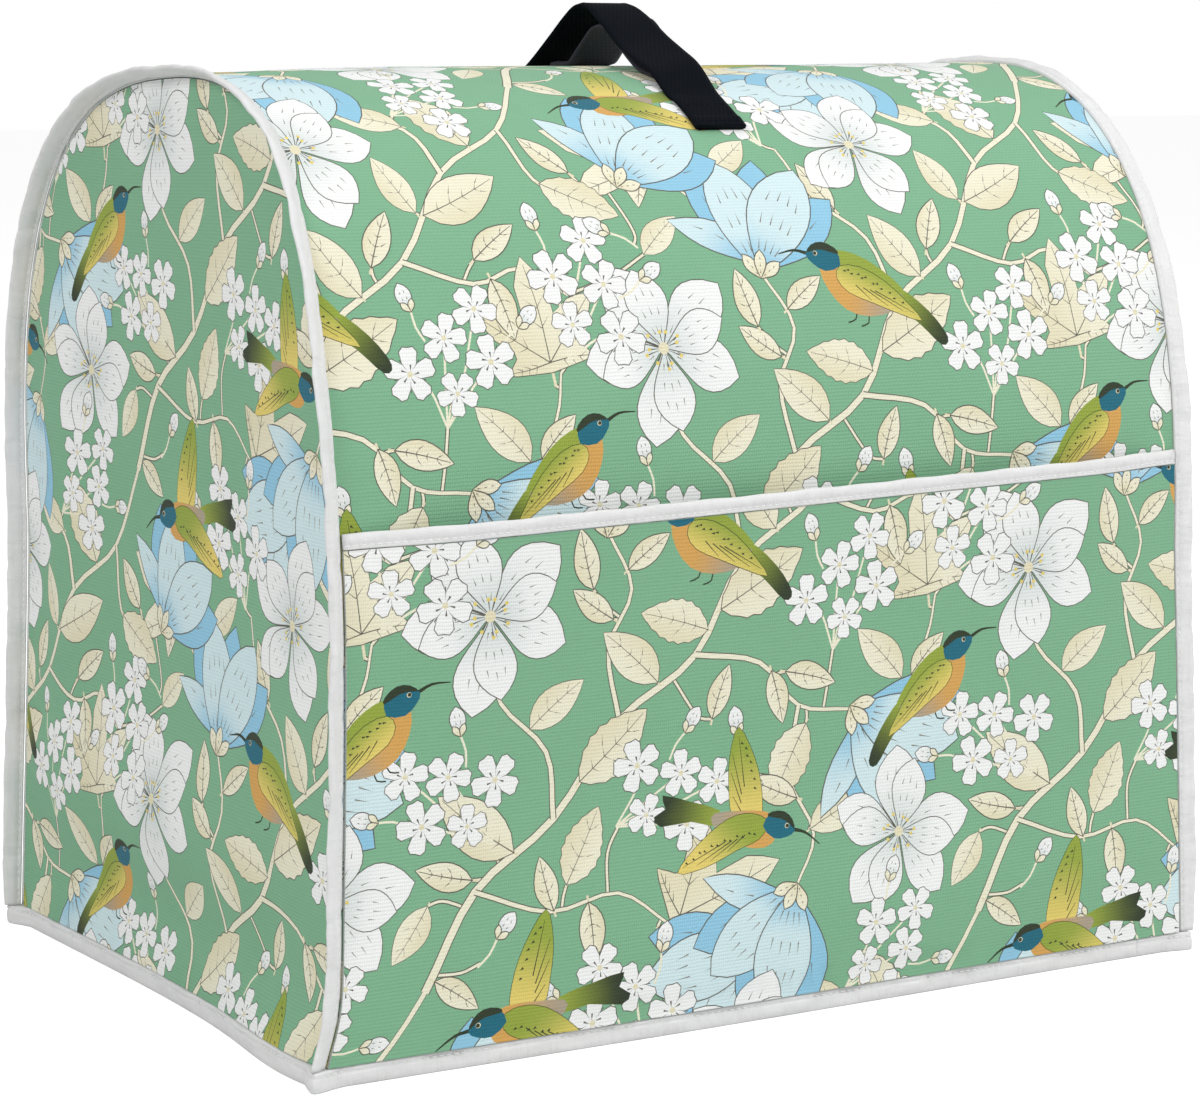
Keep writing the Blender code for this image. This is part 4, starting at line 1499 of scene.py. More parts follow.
@dataclass
class SeamBinding:
    """White tape folded over an arch seam, which stands out from the corner, with its stitches."""

    form: CoverForm
    name: str
    side: int
    leans: tuple
    tape: float = 0.0026
    reach: float = 0.0090
    pinch: float = 0.0068
    pinch_height: float = 0.030
    root: float = 0.00045
    step: float = 0.0019
    stitch_row: float = 0.0015
    groove: float = 0.62
    pinch_in: float = 0.05
    pinch_flat: float = 0.42
    lean_waves: tuple = ((1.8, 97.0, 0.0), (0.7, 431.0, 0.0))
    reach_waves: tuple = ((0.010, 330.0, 1.0), (0.018, 123.0, 0.0))

    def lean(self, along: Array) -> Array:
        """The seam's lean in radians, with a little unevenness from the sewing."""
        degrees = np.interp(along, *zip(*self.leans))
        return np.radians(degrees + waves(along, ((1.6, 210.0, self.side), *self.lean_waves)))

    def places(self, along: Array, run: Array, rise: Array) -> Array:
        """Points of the tape: along the arch, a share of its reach from its root, and off its middle.

        Args:
            along: How far along the arch.
            run: The share of its reach.
            rise: How far off its middle, as a share of half its thickness.

        Returns:
            The points, row by row.
        """
        along = along[:, None]
        lean = self.lean(along)
        y, z = self.form.arch_point(along, 0.0)
        far = self.form.arch_point(along, 1.0)
        out_y, out_z = far[0] - y, far[1] - z
        low = np.clip(1.0 - z / self.pinch_height, 0.0, 1.0)
        reach = self.reach + (self.pinch - self.reach) * low
        reach = reach * (1.0 + waves(along, self.reach_waves))
        pinched = gathers(along, self.reach * run[None, :], 20 + self.side)
        run = self.root + reach * run[None, :] * (1.0 - self.pinch_in * pinched * run[None, :])
        rise = rise[None, :] * self.tape / 2 * (1.0 - self.pinch_flat * pinched)
        aside = run * np.cos(lean) - rise * np.sin(lean)
        out = run * np.sin(lean) + rise * np.cos(lean)
        placed = self.form.flared(self.side, self.side * aside, y + out_y * out, z + out_z * out)
        return self.form.settle(*placed)

    def build(self) -> tuple:
        """Makes the tape and the two rows of stitches near its inner edge.

        Returns:
            The tape and its stitches.
        """
        start = float(self.form.front_along(self.form.panel_foot))
        along = np.arange(start, -start, self.step)
        along = np.append(along, -start)
        row = self.stitch_row / self.reach
        half = ((0.0, 0.92), (row * 0.55, 1.0), (row, self.groove), (row * 1.45, 1.0), (0.5, 1.04),
                (0.78, 0.96), (0.93, 0.66), (1.0, 0.25))
        ring = [(run, -rise) for run, rise in half] + [(run, rise) for run, rise in half[::-1]]
        run, rise = np.array(ring).T
        tape = swept(f"taped_{self.name}", self.places(along, run, rise))
        rows = []
        for face in (-1.0, 1.0):
            line = self.places(along, np.array((row, row)), np.array((face * self.groove, face * 2.0)))
            rows.append((line[:, 0], line[:, 1] - line[:, 0]))
        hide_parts(self.name)
        return tape, Stitching().build(f"stitches_{self.name}", rows)


@dataclass
class HemBinding:
    """White tape folded over the bottom edge all round. The cover stands on it."""

    form: CoverForm
    leans: tuple
    tape: float = 0.0026
    proud: float = 0.0008
    ear: float = 0.0042
    corner_run: float = 0.011
    corner_lead: float = 1.6
    ear_half: float = 0.7
    inner_radius: float = 0.002
    step: float = 0.0022
    corner_steps: int = 5
    stitch_height: float = 0.0066
    stitch_inset: float = 0.0007
    joint: float = 0.190
    joint_half: float = 0.0005
    joint_groove: float = 0.0008
    pinch: float = 0.0009
    stiff_below: float = 0.004
    inner_share: float = 0.3
    edge_waves: tuple = ((0.00026, 310.0, 0.0), (0.0007, 96.0, 1.0))

    def corner(self, side: int, face: int, lean: float) -> tuple:
        """Outer and inner plan at a corner, round the end of the seam's binding.

        Args:
            side: -1 or 1, which end of the cover it is on.
            face: -1 at the front and 1 at the back.
            lean: The seam's lean there, in radians.

        Returns:
            Two arrays of places, which start on the side panel and end on the face.
        """
        run, lead = self.corner_run, self.corner_run * self.corner_lead
        x = side * (self.form.width / 2 + self.form.flare_x + self.proud)
        y = face * (self.form.depth / 2 + self.form.flare_y + self.proud)
        tip = np.array((side * math.cos(lean), face * math.sin(lean)))
        half = np.array((-tip[1], tip[0])) * (side * face) * self.tape * self.ear_half
        middle = np.array((x, y))
        knots = (middle - (0.0, face * lead), middle - (0.0, face * run), middle + tip * self.ear - half,
                 middle + tip * self.ear + half, middle - (side * run, 0.0), middle - (side * lead, 0.0))
        outer = through(knots, self.corner_steps)[self.corner_steps + 1:-self.corner_steps - 1]
        inset = self.form.cloth + 2 * self.proud + self.inner_radius
        turn = math.pi / 2 * (np.arange(len(outer)) + 1) / (len(outer) + 1)
        ring = np.stack((side * np.cos(turn), face * np.sin(turn)), axis=1) * self.inner_radius
        return outer, ring + (x - side * inset, y - face * inset)

    def plan(self) -> tuple:
        """Outer and inner plan of the tape, in order round the cover.

        Returns:
            Two arrays of places.
        """
        reach = np.array((self.form.width / 2 + self.form.flare_x, self.form.depth / 2 + self.form.flare_y))
        reach = reach + self.proud
        thick = self.form.cloth + 2 * self.proud
        outer, inner = [], []
        order = ((-1, -1, 1, -1), (1, -1, 1, 1), (1, 1, -1, 1), (-1, 1, -1, -1))
        for index, (side, face, next_side, next_face) in enumerate(order):
            start, end = reach * (side, face), reach * (next_side, next_face)
            run = (end - start) / np.linalg.norm(end - start)
            inward = np.array((-run[1], run[0]))
            start, end = start + run * self.corner_run, end - run * self.corner_run
            long = float(np.linalg.norm(end - start))
            shares = np.linspace(0.0, 1.0, round(long / self.step) + 1)
            if index == 0:
                near = (self.joint - start[0] + np.array((-0.0012, -0.0006, 0.0, 0.0006, 0.0012))) / long
                shares = np.sort(np.append(shares, near))
            line = start + (end - start) * shares[:, None]
            outer.append(line)
            inner.append(line + inward * thick)
            corner = self.corner(next_side, next_face, math.radians(self.leans[index]))
            turning = slice(None, None, -1) if index % 2 == 0 else slice(None)
            outer.append(corner[0][turning])
            inner.append(corner[1][turning])
        return np.vstack(outer), np.vstack(inner)

    def build(self) -> tuple:
        """Makes the tape, its butt joint and its row of stitches.

        Returns:
            The tape and its stitches.
        """
        outer, inner = self.plan()
        along = lengths_along(outer)[:, None]
        inward = (inner - outer) / np.linalg.norm(inner - outer, axis=1, keepdims=True)
        tall = self.form.hem_tall
        wave = waves(along, self.edge_waves)
        at_joint = np.exp(-((outer[:, :1] - self.joint) / self.joint_half) ** 2) * (outer[:, 1:] < 0)
        wave = wave - self.joint_groove * at_joint
        sides = ((0.0009, 0.0), (0.0002, 0.0008), (-0.0001, 0.0028), (-0.0001, 0.0050), (0.00015, 0.0060),
                 (0.0007, self.stitch_height), (0.0001, 0.0073), (0.0004, tall - 0.0004), (0.0010, tall))
        ring = []
        for edge, way in ((outer, 1.0), (inner, -1.0)):
            column = []
            for inset, height in sides:
                free = min(height / self.stiff_below, 1.0)
                pinched = self.pinch * gathers(along, np.array(height), 3) * free
                place = edge + way * inward * (inset + (pinched if way > 0 else 0.0))
                place = place - way * inward * wave * free * (1.0 if way > 0 else self.inner_share)
                column.append(self.form.settle(place[:, 0], place[:, 1], np.full(len(place), height)))
            ring += column if way > 0 else column[::-1]
        tape = swept("taped_hem_binding", np.stack(ring, axis=1), closed=True)
        rows = []
        for edge, way in ((outer, 1.0), (inner, -1.0)):
            closed, into = (np.vstack((each, each[:1])) for each in (edge, way * inward))
            line = closed + into * self.stitch_inset
            heights = np.full(len(line), self.stitch_height)
            here, there = (self.form.settle(*place.T, heights) for place in (line, line - into * MM))
            rows.append((here, there - here))
        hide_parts("hem_binding")
        return tape, Stitching().build("stitches_hem_binding", rows)


@dataclass
class PocketBinding:
    """White tape folded over the pocket's mouth."""

    pocket: Pocket
    tape: float = 0.0026
    step: float = 0.003
    stitch_height: float = 0.0015
    straight_below: float = 0.003
    edge_waves: tuple = ((0.00016, 52.0, 0.0), (0.00012, 23.0, 1.0))

    def places(self, side: Array, out: Array, rise: Array) -> Array:
        """Points of the tape: across the pocket, out of its inner face, and up from the tape's foot.

        Args:
            side: The share across the width, from -1 to 1.
            out: How far out.
            rise: How far up.

        Returns:
            The points, row by row.
        """
        side = side[:, None]
        foot = self.pocket.mouth(side) + self.pocket.form.gap
        wave = waves(side, self.edge_waves) * (rise[None, :] > self.straight_below)
        return self.pocket.place(side, foot + rise[None, :] + wave, out[None, :])

    def build(self) -> tuple:
        """Makes the tape and its stitches.

        Returns:
            The tape and its stitches.
        """
        form = self.pocket.form
        reach = 1.0 - self.pocket.seam / (form.width / 2)
        side = np.linspace(-reach, reach, round(form.width / self.step))
        proud, tall = (self.tape - form.cloth) / 2, self.pocket.tape
        front, back = form.cloth + proud, -proud * 0.4
        ring = ((front - 0.0001, 0.0), (front + 0.0001, 0.0007), (front - 0.0005, self.stitch_height),
                (front + 0.0001, 0.0024), (front + 0.0001, tall * 0.7), (front - 0.0003, tall * 0.92),
                (form.cloth * 0.8, tall), (form.cloth * 0.2, tall), (back + 0.0002, tall * 0.9),
                (back, tall * 0.6), (back, 0.0))
        out, rise = np.array(ring).T
        tape = swept("taped_pocket_binding", self.places(side, out, rise))
        height = np.array((self.stitch_height, self.stitch_height))
        line = self.places(side, np.array((front - 0.0005, front + 0.001)), height)
        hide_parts("pocket_binding")
        return tape, Stitching().build("stitches_pocket_binding", [(line[:, 0], line[:, 1] - line[:, 0])])


@dataclass
class Webbing:
    """A strap of black webbing, sewn down at both ends, which stands up in a loop between them."""

    form: CoverForm
    name: str
    knots: tuple
    tab: float
    wide: float = 0.0254
    thick: float = 0.0017
    blend: float = 0.006
    step: float = 0.0016
    across: int = 11
    fold: float = 0.0009
    turned_under: float = 0.006

    def ends(self) -> tuple:
        """How far forward and back the strap reaches."""
        return self.knots[0].y - self.tab, self.knots[-1].y + self.tab

    def sewn_end(self, start: float, end: float, x: float) -> list:
        """Knots of a sewn-down end, which follow the top of the cover.

        Args:
            start: The depth where they start.
            end: The depth where they end.
            x: Their sideways place.

        Returns:
            The knots, as route takes them.
        """
        made = []
        for place in np.linspace(start, end, 3):
            lift = self.form.gap + self.thick / 2
            y, z = self.form.arch_point(self.form.top_along(place), lift)
            made.append((float(y), float(z), x, 0.0))
        return made

    def route(self) -> Array:
        """The middle of the strap: depth, height, sideways place and roll, one row for each step."""
        first, last = self.knots[0], self.knots[-1]
        front = self.sewn_end(first.y - self.tab, first.y - self.blend, first.x)
        back = self.sewn_end(last.y + self.blend, last.y + self.tab, last.x)
        fine = through(front + [tuple(knot) for knot in self.knots] + back, 12)
        lengths = lengths_along(fine[:, :2])
        even = np.linspace(0.0, lengths[-1], round(lengths[-1] / self.step) + 1)
        return np.stack([np.interp(even, lengths, fine[:, axis]) for axis in range(4)], axis=1)

    def section(self) -> tuple:
        """The strap's section: how far aside, and how far up, as a ring of flat places."""
        half, rise = self.wide / 2, self.thick / 2
        places = np.linspace(-1.0, 1.0, self.across)
        aside = half * np.sign(places) * np.abs(places) ** 0.8
        edge = np.clip((half - np.abs(aside)) / 0.0012, 0.0, 1.0)
        up = rise * (0.45 + 0.55 * np.sqrt(edge * (2.0 - edge)))
        ridge = 0.00012 * (np.abs(places) > 0.72) * (edge > 0.9)
        return np.concatenate((aside, aside[::-1])), np.concatenate((-up - ridge, (up + ridge)[::-1]))

    def places(self, route: Array, aside: Array, up: Array) -> Array:
        """Points of the strap beside its middle. The turned-under ends are thicker.

        Args:
            route: The strap's middle, as route gives it.
            aside: How far to the side.
            up: How far up from its middle.

        Returns:
            The settled points, row by row.
        """
        run = np.gradient(route[:, :2], axis=0)
        run = run / np.linalg.norm(run, axis=1, keepdims=True)
        roll = np.radians(route[:, 3])
        wide = np.stack((np.cos(roll), np.zeros(len(roll)), np.sin(roll)), axis=1)
        ahead = np.stack((np.zeros(len(roll)), run[:, 0], run[:, 1]), axis=1)
        square = np.cross(wide, ahead)
        square /= np.linalg.norm(square, axis=1, keepdims=True)
        middle = np.stack((route[:, 2], route[:, 0], route[:, 1]), axis=1)
        nearest = np.minimum(np.abs(route[:, 0] - self.ends()[0]), np.abs(route[:, 0] - self.ends()[1]))
        fold = self.fold * ease((self.turned_under - nearest) / 0.002)[:, None] * (up > 0)[None, :]
        up = (up[None, :] + fold)[:, :, None]
        points = middle[:, None] + wide[:, None] * aside[None, :, None] + square[:, None] * up
        return self.form.settle(points[..., 0], points[..., 1], points[..., 2])

    def build(self) -> tuple:
        """Makes the strap and the box of stitches at each of its ends.

        Returns:
            The strap and its stitches.
        """
        route = self.route()
        aside, up = self.section()
        strap = swept(f"woven_{self.name}", self.places(route, aside, up))
        rows = []
        rise = np.array((self.thick / 2, self.thick))
        reach = self.wide / 2 - 0.0030
        count = round((self.tab - 0.004) / self.step)
        for end in (route[1:count], route[-count:-1]):
            for place in (-reach, reach):
                line = self.places(end, np.array((place, place)), rise)
                rows.append((line[:, 0], line[:, 1] - line[:, 0]))
            for stop in (1, -2):
                places = np.linspace(-reach, reach, 9)
                line = self.places(end, places, np.full(9, rise[0]))[stop]
                over = self.places(end, places, np.full(9, rise[1]))[stop]
                rows.append((line, over - line))
        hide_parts(self.name)
        return strap, Stitching(radius=0.00024).build(f"stitches_{self.name}", rows)


class Nodes:
    """Short ways to place and join nodes in one node tree."""

    def __init__(self, tree: NodeTree) -> None:
        """Works on one tree."""
        self.tree = tree

    def add(self, kind: str, **values: object) -> Node:
        """Places a node and sets its own options.

        Args:
            kind: The node's kind.
            values: Its options.

        Returns:
            The node.
        """
        made = self.tree.nodes.new(kind)
        for name, value in values.items():
            setattr(made, name, value)
        return made

    def put(self, value: object, socket: NodeSocket) -> None:
        """Joins an output to a socket, or sets the socket to a number.

        Args:
            value: The output or number.
            socket: The socket.
        """
        if isinstance(value, NodeSocket):
            self.tree.links.new(value, socket)
        else:
            socket.default_value = value

    def fill(self, node: Node, values: dict) -> None:
        """Puts a value into each named input of a node."""
        for name, value in values.items():
            self.put(value, node.inputs[name])

    def maths(self, operation: str, *values: object) -> NodeSocket:
        """The result of a sum on one to three numbers or outputs.

        Args:
            operation: The sum's name.
            values: What it works on.

        Returns:
            The output.
        """
        made = self.add("ShaderNodeMath", operation=operation)
        for value, socket in zip(values, made.inputs):
            self.put(value, socket)
        return made.outputs[0]

    def scaled(self, vector: NodeSocket, by: Sequence) -> NodeSocket:
        """A place with each axis scaled by its own number.

        Args:
            vector: The place.
            by: The three numbers.

        Returns:
            The output.
        """
        node = self.add("ShaderNodeVectorMath", operation="MULTIPLY")
        self.put(vector, node.inputs[0])
        node.inputs[1].default_value = by
        return node.outputs[0]

    def noise(self, vector: NodeSocket, scale: float, detail: float = 2.0) -> NodeSocket:
        """Soft noise from 0 to 1."""
        made = self.add("ShaderNodeTexNoise")
        self.fill(made, {"Vector": vector, "Scale": scale, "Detail": detail})
        return made.outputs["Fac"]


def new_group(name: str, inputs: Sequence[tuple], outputs: Sequence[tuple]) -> tuple:
    """A shader node group with named inputs and outputs.

    Args:
        name: The group's name.
        inputs: The name, kind of socket and default of each input.
        outputs: The name and kind of socket of each output.

    Returns:
        The group's nodes, its input node and its output node.
    """
    tree = bpy.data.node_groups.new(name, "ShaderNodeTree")
    for label, kind, value in inputs:
        made = tree.interface.new_socket(name=label, in_out="INPUT", socket_type=kind)
        if value is not None:
            made.default_value = value
    for label, kind in outputs:
        tree.interface.new_socket(name=label, in_out="OUTPUT", socket_type=kind)
    nodes = Nodes(tree)
    return nodes, nodes.add("NodeGroupInput"), nodes.add("NodeGroupOutput")


def weave_group() -> NodeTree:
    """Threads that pass over and under each other, with the unevenness of spun yarn."""
    nodes, given, result = new_group(
        "Woven threads",
        (("Place", "NodeSocketVector", None), ("Warp Pitch", "NodeSocketFloat", 0.001),
         ("Weft Pitch", "NodeSocketFloat", 0.001), ("Slub", "NodeSocketFloat", 0.2),
         ("Rib", "NodeSocketFloat", 0.3)),
        (("Height", "NodeSocketFloat"), ("Hollow", "NodeSocketFloat")))
    parts = nodes.add("ShaderNodeSeparateXYZ")
    nodes.put(given.outputs["Place"], parts.inputs[0])
    drift = nodes.maths("SUBTRACT", nodes.noise(given.outputs["Place"], 160.0), 0.5)
    waves = []
    for axis, pitch in (("X", "Warp Pitch"), ("Y", "Weft Pitch")):
        turns = nodes.maths("DIVIDE", parts.outputs[axis], given.outputs[pitch])
        turns = nodes.maths("MULTIPLY_ADD", drift, given.outputs["Slub"], turns)
        waves.append(nodes.maths("SINE", nodes.maths("MULTIPLY", turns, math.pi)))
    over = nodes.maths("GREATER_THAN", nodes.maths("MULTIPLY", *waves), 0.0)
    warp, weft = (nodes.maths("ABSOLUTE", wave) for wave in waves)
    plain = nodes.maths("ADD", nodes.maths("MULTIPLY", warp, over),
                        nodes.maths("MULTIPLY", weft, nodes.maths("SUBTRACT", 1.0, over)))
    ribbed = nodes.maths("MULTIPLY", weft, given.outputs["Rib"])
    height = nodes.maths("MULTIPLY_ADD", plain, nodes.maths("SUBTRACT", 1.0, given.outputs["Rib"]), ribbed)
    nodes.put(height, result.inputs["Height"])
    hollow = nodes.maths("SUBTRACT", 1.0, nodes.maths("MULTIPLY", nodes.maths("MAXIMUM", warp, weft), height))
    nodes.put(hollow, result.inputs["Hollow"])
    return nodes.tree


def wash_group() -> NodeTree:
    """A colour with soft blotches and fine grain, and painted shade that darkens it between the threads. The
    blotches are uneven dye, and painted shade where a finish streaks them.
    """
    nodes, given, result = new_group(
        "Dyed cloth with painted shade",
        (("Place", "NodeSocketVector", None), ("Color", "NodeSocketColor", (0.5, 0.5, 0.5, 1.0)),
         ("Blotch", "NodeSocketFloat", 0.06), ("Grain", "NodeSocketFloat", 0.05),
         ("Hollow", "NodeSocketFloat", 0.0), ("Depth", "NodeSocketFloat", 0.15)),
        (("Color", "NodeSocketColor"),))
    blotch = nodes.maths("SUBTRACT", nodes.noise(given.outputs["Place"], 34.0, 3.0), 0.5)
    grain = nodes.maths("SUBTRACT", nodes.noise(given.outputs["Place"], 1400.0), 0.5)
    value = nodes.maths("MULTIPLY_ADD", blotch, given.outputs["Blotch"], 1.0)
    value = nodes.maths("MULTIPLY_ADD", grain, given.outputs["Grain"], value)
    # Painted shade: the colour is made darker in the hollows between the threads.
    depth = nodes.maths("MULTIPLY", given.outputs["Hollow"], given.outputs["Depth"])
    value = nodes.maths("SUBTRACT", value, depth)
    shade = nodes.add("ShaderNodeHueSaturation")
    nodes.put(value, shade.inputs["Value"])
    nodes.put(given.outputs["Color"], shade.inputs["Color"])
    nodes.put(shade.outputs["Color"], result.inputs["Color"])
    return nodes.tree


@dataclass(frozen=True)
class ClothFinish:
    """A woven finish: its colour, or none where the print gives it, and how its threads lie."""

    name: str
    colour: Optional[tuple]
    warp_pitch: float
    weft_pitch: float
    rib: float
    slub: float = 0.35
    blotch: float = 0.06
    grain: float = 0.05
    # How much painted shade darkens the colour between the threads.
    hollow: float = 0.14
    bump: float = 0.00010
    roughness: float = 0.80
    rougher: float = 0.12
    sheen: float = 0.10
    specular: float = 0.35
    crinkle: float = 0.0
    # Stretches the blotches into streaks. On the tape these streaks are painted shade of its soft waves.
    painted_shade_streaks: Optional[tuple] = None

    def relief(self, nodes: Nodes, place: NodeSocket,
               threads: NodeSocket) -> NodeSocket:
        """The threads' height, on the small gathers of a tape where the finish has them.

        Args:
            nodes: The material's nodes.
            place: The place on the cloth.
            threads: Their height.

        Returns:
            The height in all.
        """
        if not self.crinkle:
            return threads
        crumple = nodes.noise(nodes.scaled(place, (1.0, 0.35, 1.0)), 190.0)
        return nodes.maths("MULTIPLY_ADD", crumple, self.crinkle / self.bump, threads)

    def material(self, weave: NodeTree, wash: NodeTree) -> Material:
        """Makes the finish's material from the two shared groups.

        Args:
            weave: The group of woven threads.
            wash: The group of dyed cloth and painted shade.

        Returns:
            The material.
        """
        made = bpy.data.materials.new(self.name)
        made.use_nodes = True
        nodes = Nodes(made.node_tree)
        shader = made.node_tree.nodes["Principled BSDF"]
        place = nodes.add("ShaderNodeUVMap", uv_map=THREAD_MAP).outputs["UV"]
        threads = nodes.add("ShaderNodeGroup", node_tree=weave)
        nodes.fill(threads, {"Place": place, "Warp Pitch": self.warp_pitch, "Weft Pitch": self.weft_pitch,
                             "Slub": self.slub, "Rib": self.rib})
        height = self.relief(nodes, place, threads.outputs["Height"])
        dyed = nodes.add("ShaderNodeGroup", node_tree=wash)
        if self.painted_shade_streaks:
            place = nodes.scaled(place, self.painted_shade_streaks)
        if self.colour is None:
            colour = nodes.add("ShaderNodeVertexColor", layer_name=PRINT_LAYER).outputs["Color"]
        else:
            colour = (*self.colour, 1.0)
        nodes.fill(dyed, {"Place": place, "Color": colour, "Blotch": self.blotch, "Grain": self.grain,
                          "Hollow": threads.outputs["Hollow"], "Depth": self.hollow})
        relief = nodes.add("ShaderNodeBump")
        nodes.fill(relief, {"Strength": 1.0, "Distance": self.bump, "Height": height})
        rough = nodes.maths("MULTIPLY_ADD", threads.outputs["Hollow"], self.rougher, self.roughness)
        nodes.fill(shader, {"Base Color": dyed.outputs["Color"], "Roughness": rough,
                            "Normal": relief.outputs["Normal"], "Sheen Weight": self.sheen,
                            "Sheen Roughness": 0.5, "Specular IOR Level": self.specular})
        return made


PRINTED = ClothFinish("Printed cloth", None, 0.00095, 0.0015, 0.40, hollow=0.10, bump=0.00012)
BACKING = ClothFinish("Back of the cloth", (0.70, 0.74, 0.71), 0.00095, 0.0015, 0.55)
# The tape's strong blotches, streaked along it, are painted shade of its soft waves and folds.
TAPE = ClothFinish("White binding", (0.775, 0.775, 0.775), 0.0007, 0.0006, 0.2, blotch=0.20, hollow=0.08,
                   bump=0.00006, roughness=0.50, sheen=0.05, crinkle=0.0012, painted_shade_streaks=(1.5, 8.0, 1.0))
THREAD = ClothFinish("White thread", (0.88, 0.89, 0.88), 0.0004, 0.0004, 0.0, hollow=0.05, bump=0.00003,
                     roughness=0.55)
STRAP = ClothFinish("Black webbing", (0.0028, 0.0044, 0.0078), 0.0021, 0.0011, 0.30, blotch=0.30, grain=0.3,
                    hollow=0.22, bump=0.00016, roughness=0.55, sheen=0.0, specular=0.045)
# The inner strap is the same black webbing. It is given a far lighter colour and more shine as painted light,
# because it lies in shade.
STRAP_INNER_PAINTED_LIGHT = ClothFinish("Inner webbing with painted light", (0.048, 0.047, 0.062), 0.0021, 0.0011, 0.30, blotch=0.30,
                          grain=0.3, hollow=0.22, bump=0.00016, roughness=0.50, sheen=0.02, specular=0.15)
STRAP_THREAD = ClothFinish("Black thread", (0.004, 0.005, 0.008), 0.0004, 0.0004, 0.0, bump=0.00003,
                           roughness=0.55, sheen=0.0, specular=0.06)


@dataclass(frozen=True)
class Studio:
    """The camera, the soft lights and the pale floor."""

    place: tuple = (-0.88183, -1.43589, 0.41849)
    yaw: float = 0.55337
    pitch: float = 0.13956
    roll: float = 0.00372
    lens: float = 112.213
    sensor: float = 36.0
    floor_reach: float = 12.0
    floor_shade: float = 0.64
    floor_glow: float = 0.68
    glow_share: float = 0.15
    sky_strength: float = 0.42

    def camera(self) -> None:
        """Sets the camera at the viewing angle."""
        data = bpy.data.cameras.new("Camera")
        data.lens = self.lens
        data.sensor_width = self.sensor
        data.sensor_fit = "HORIZONTAL"
        ahead = Vector((math.sin(self.yaw) * math.cos(self.pitch), math.cos(self.yaw) * math.cos(self.pitch),
                        -math.sin(self.pitch)))
        level = Vector((math.cos(self.yaw), -math.sin(self.yaw), 0.0))
        upright = level.cross(ahead)
        right = level * math.cos(self.roll) + upright * math.sin(self.roll)
        up = upright * math.cos(self.roll) - level * math.sin(self.roll)
        made = bpy.data.objects.new("Camera", data)
        columns = Matrix((right, up, -ahead)).transposed().to_4x4()
        made.matrix_world = Matrix.Translation(Vector(self.place)) @ columns
        bpy.context.scene.collection.objects.link(made)
        bpy.context.scene.camera = made

    def surroundings(self) -> None:
        """An even sky, which looks white behind the cover."""
        bpy.context.scene.view_settings.view_transform = "Standard"
        world = bpy.data.worlds.new("Studio")
        world.use_nodes = True
        nodes = Nodes(world.node_tree)
        sky = world.node_tree.nodes["Background"]
        sky.inputs["Color"].default_value = (1.0, 1.0, 1.0, 1.0)
        seen = nodes.add("ShaderNodeLightPath").outputs["Is Camera Ray"]
        extra = 1.0 - self.sky_strength
        nodes.put(nodes.maths("MULTIPLY_ADD", seen, extra, self.sky_strength), sky.inputs["Strength"])
        bpy.context.scene.world = world

    def light(self, name: str, place: Sequence, size: float, power: float) -> None:
        """Sets one soft square light that faces the cover.

        Args:
            name: Its name.
            place: Where it stands.
            size: Its width.
            power: Its watts.
        """
        data = bpy.data.lights.new(name, "AREA")
        data.shape = "SQUARE"
        data.size = size
        data.energy = power
        made = bpy.data.objects.new(name, data)
        made.location = place
        way = Vector((0.0, 0.0, 0.2)) - Vector(place)
        made.rotation_euler = way.to_track_quat("-Z", "Y").to_euler()
        bpy.context.scene.collection.objects.link(made)

    def floor(self) -> None:
        """Lays the plain pale floor, which glows a little, mostly as the camera sees it."""
        corners = self.floor_reach * np.array(((-1, -1, 0), (1, -1, 0), (1, 1, 0), (-1, 1, 0)))
        made = new_object("floor", corners, ((0, 1, 2, 3),))
        look = bpy.data.materials.new("Pale floor")
        look.use_nodes = True
        nodes = Nodes(look.node_tree)
        shader = look.node_tree.nodes["Principled BSDF"]
        place = nodes.add("ShaderNodeTexCoord").outputs["Object"]
        value = nodes.maths("MULTIPLY_ADD", nodes.noise(place, 30.0), 0.01, self.floor_shade)
        shade = nodes.add("ShaderNodeCombineColor")
        for socket in shade.inputs[:3]:
            nodes.put(value, socket)
        nodes.put(shade.outputs[0], shader.inputs["Base Color"])
        shader.inputs["Roughness"].default_value = 0.9
        seen = nodes.add("ShaderNodeLightPath").outputs["Is Camera Ray"]
        glow = nodes.maths("MULTIPLY_ADD", seen, 1.0 - self.glow_share, self.glow_share)
        nodes.put(glow, shader.inputs["Emission Color"])
        shader.inputs["Emission Strength"].default_value = self.floor_glow
        made.data.materials.append(look)

    def build(self) -> None:
        """Sets up the whole studio."""
        self.camera()
        self.floor()
        self.surroundings()
        self.light("key", (0.6, -2.6, 2.2), 1.6, 41.5)
        self.light("side", (-2.7, -0.9, 2.3), 1.0, 44.0)
        self.light("fill", (2.4, -0.9, 1.2), 1.8, 20.0)
        self.light("top", (-0.2, 0.4, 3.0), 2.4, 15.5)


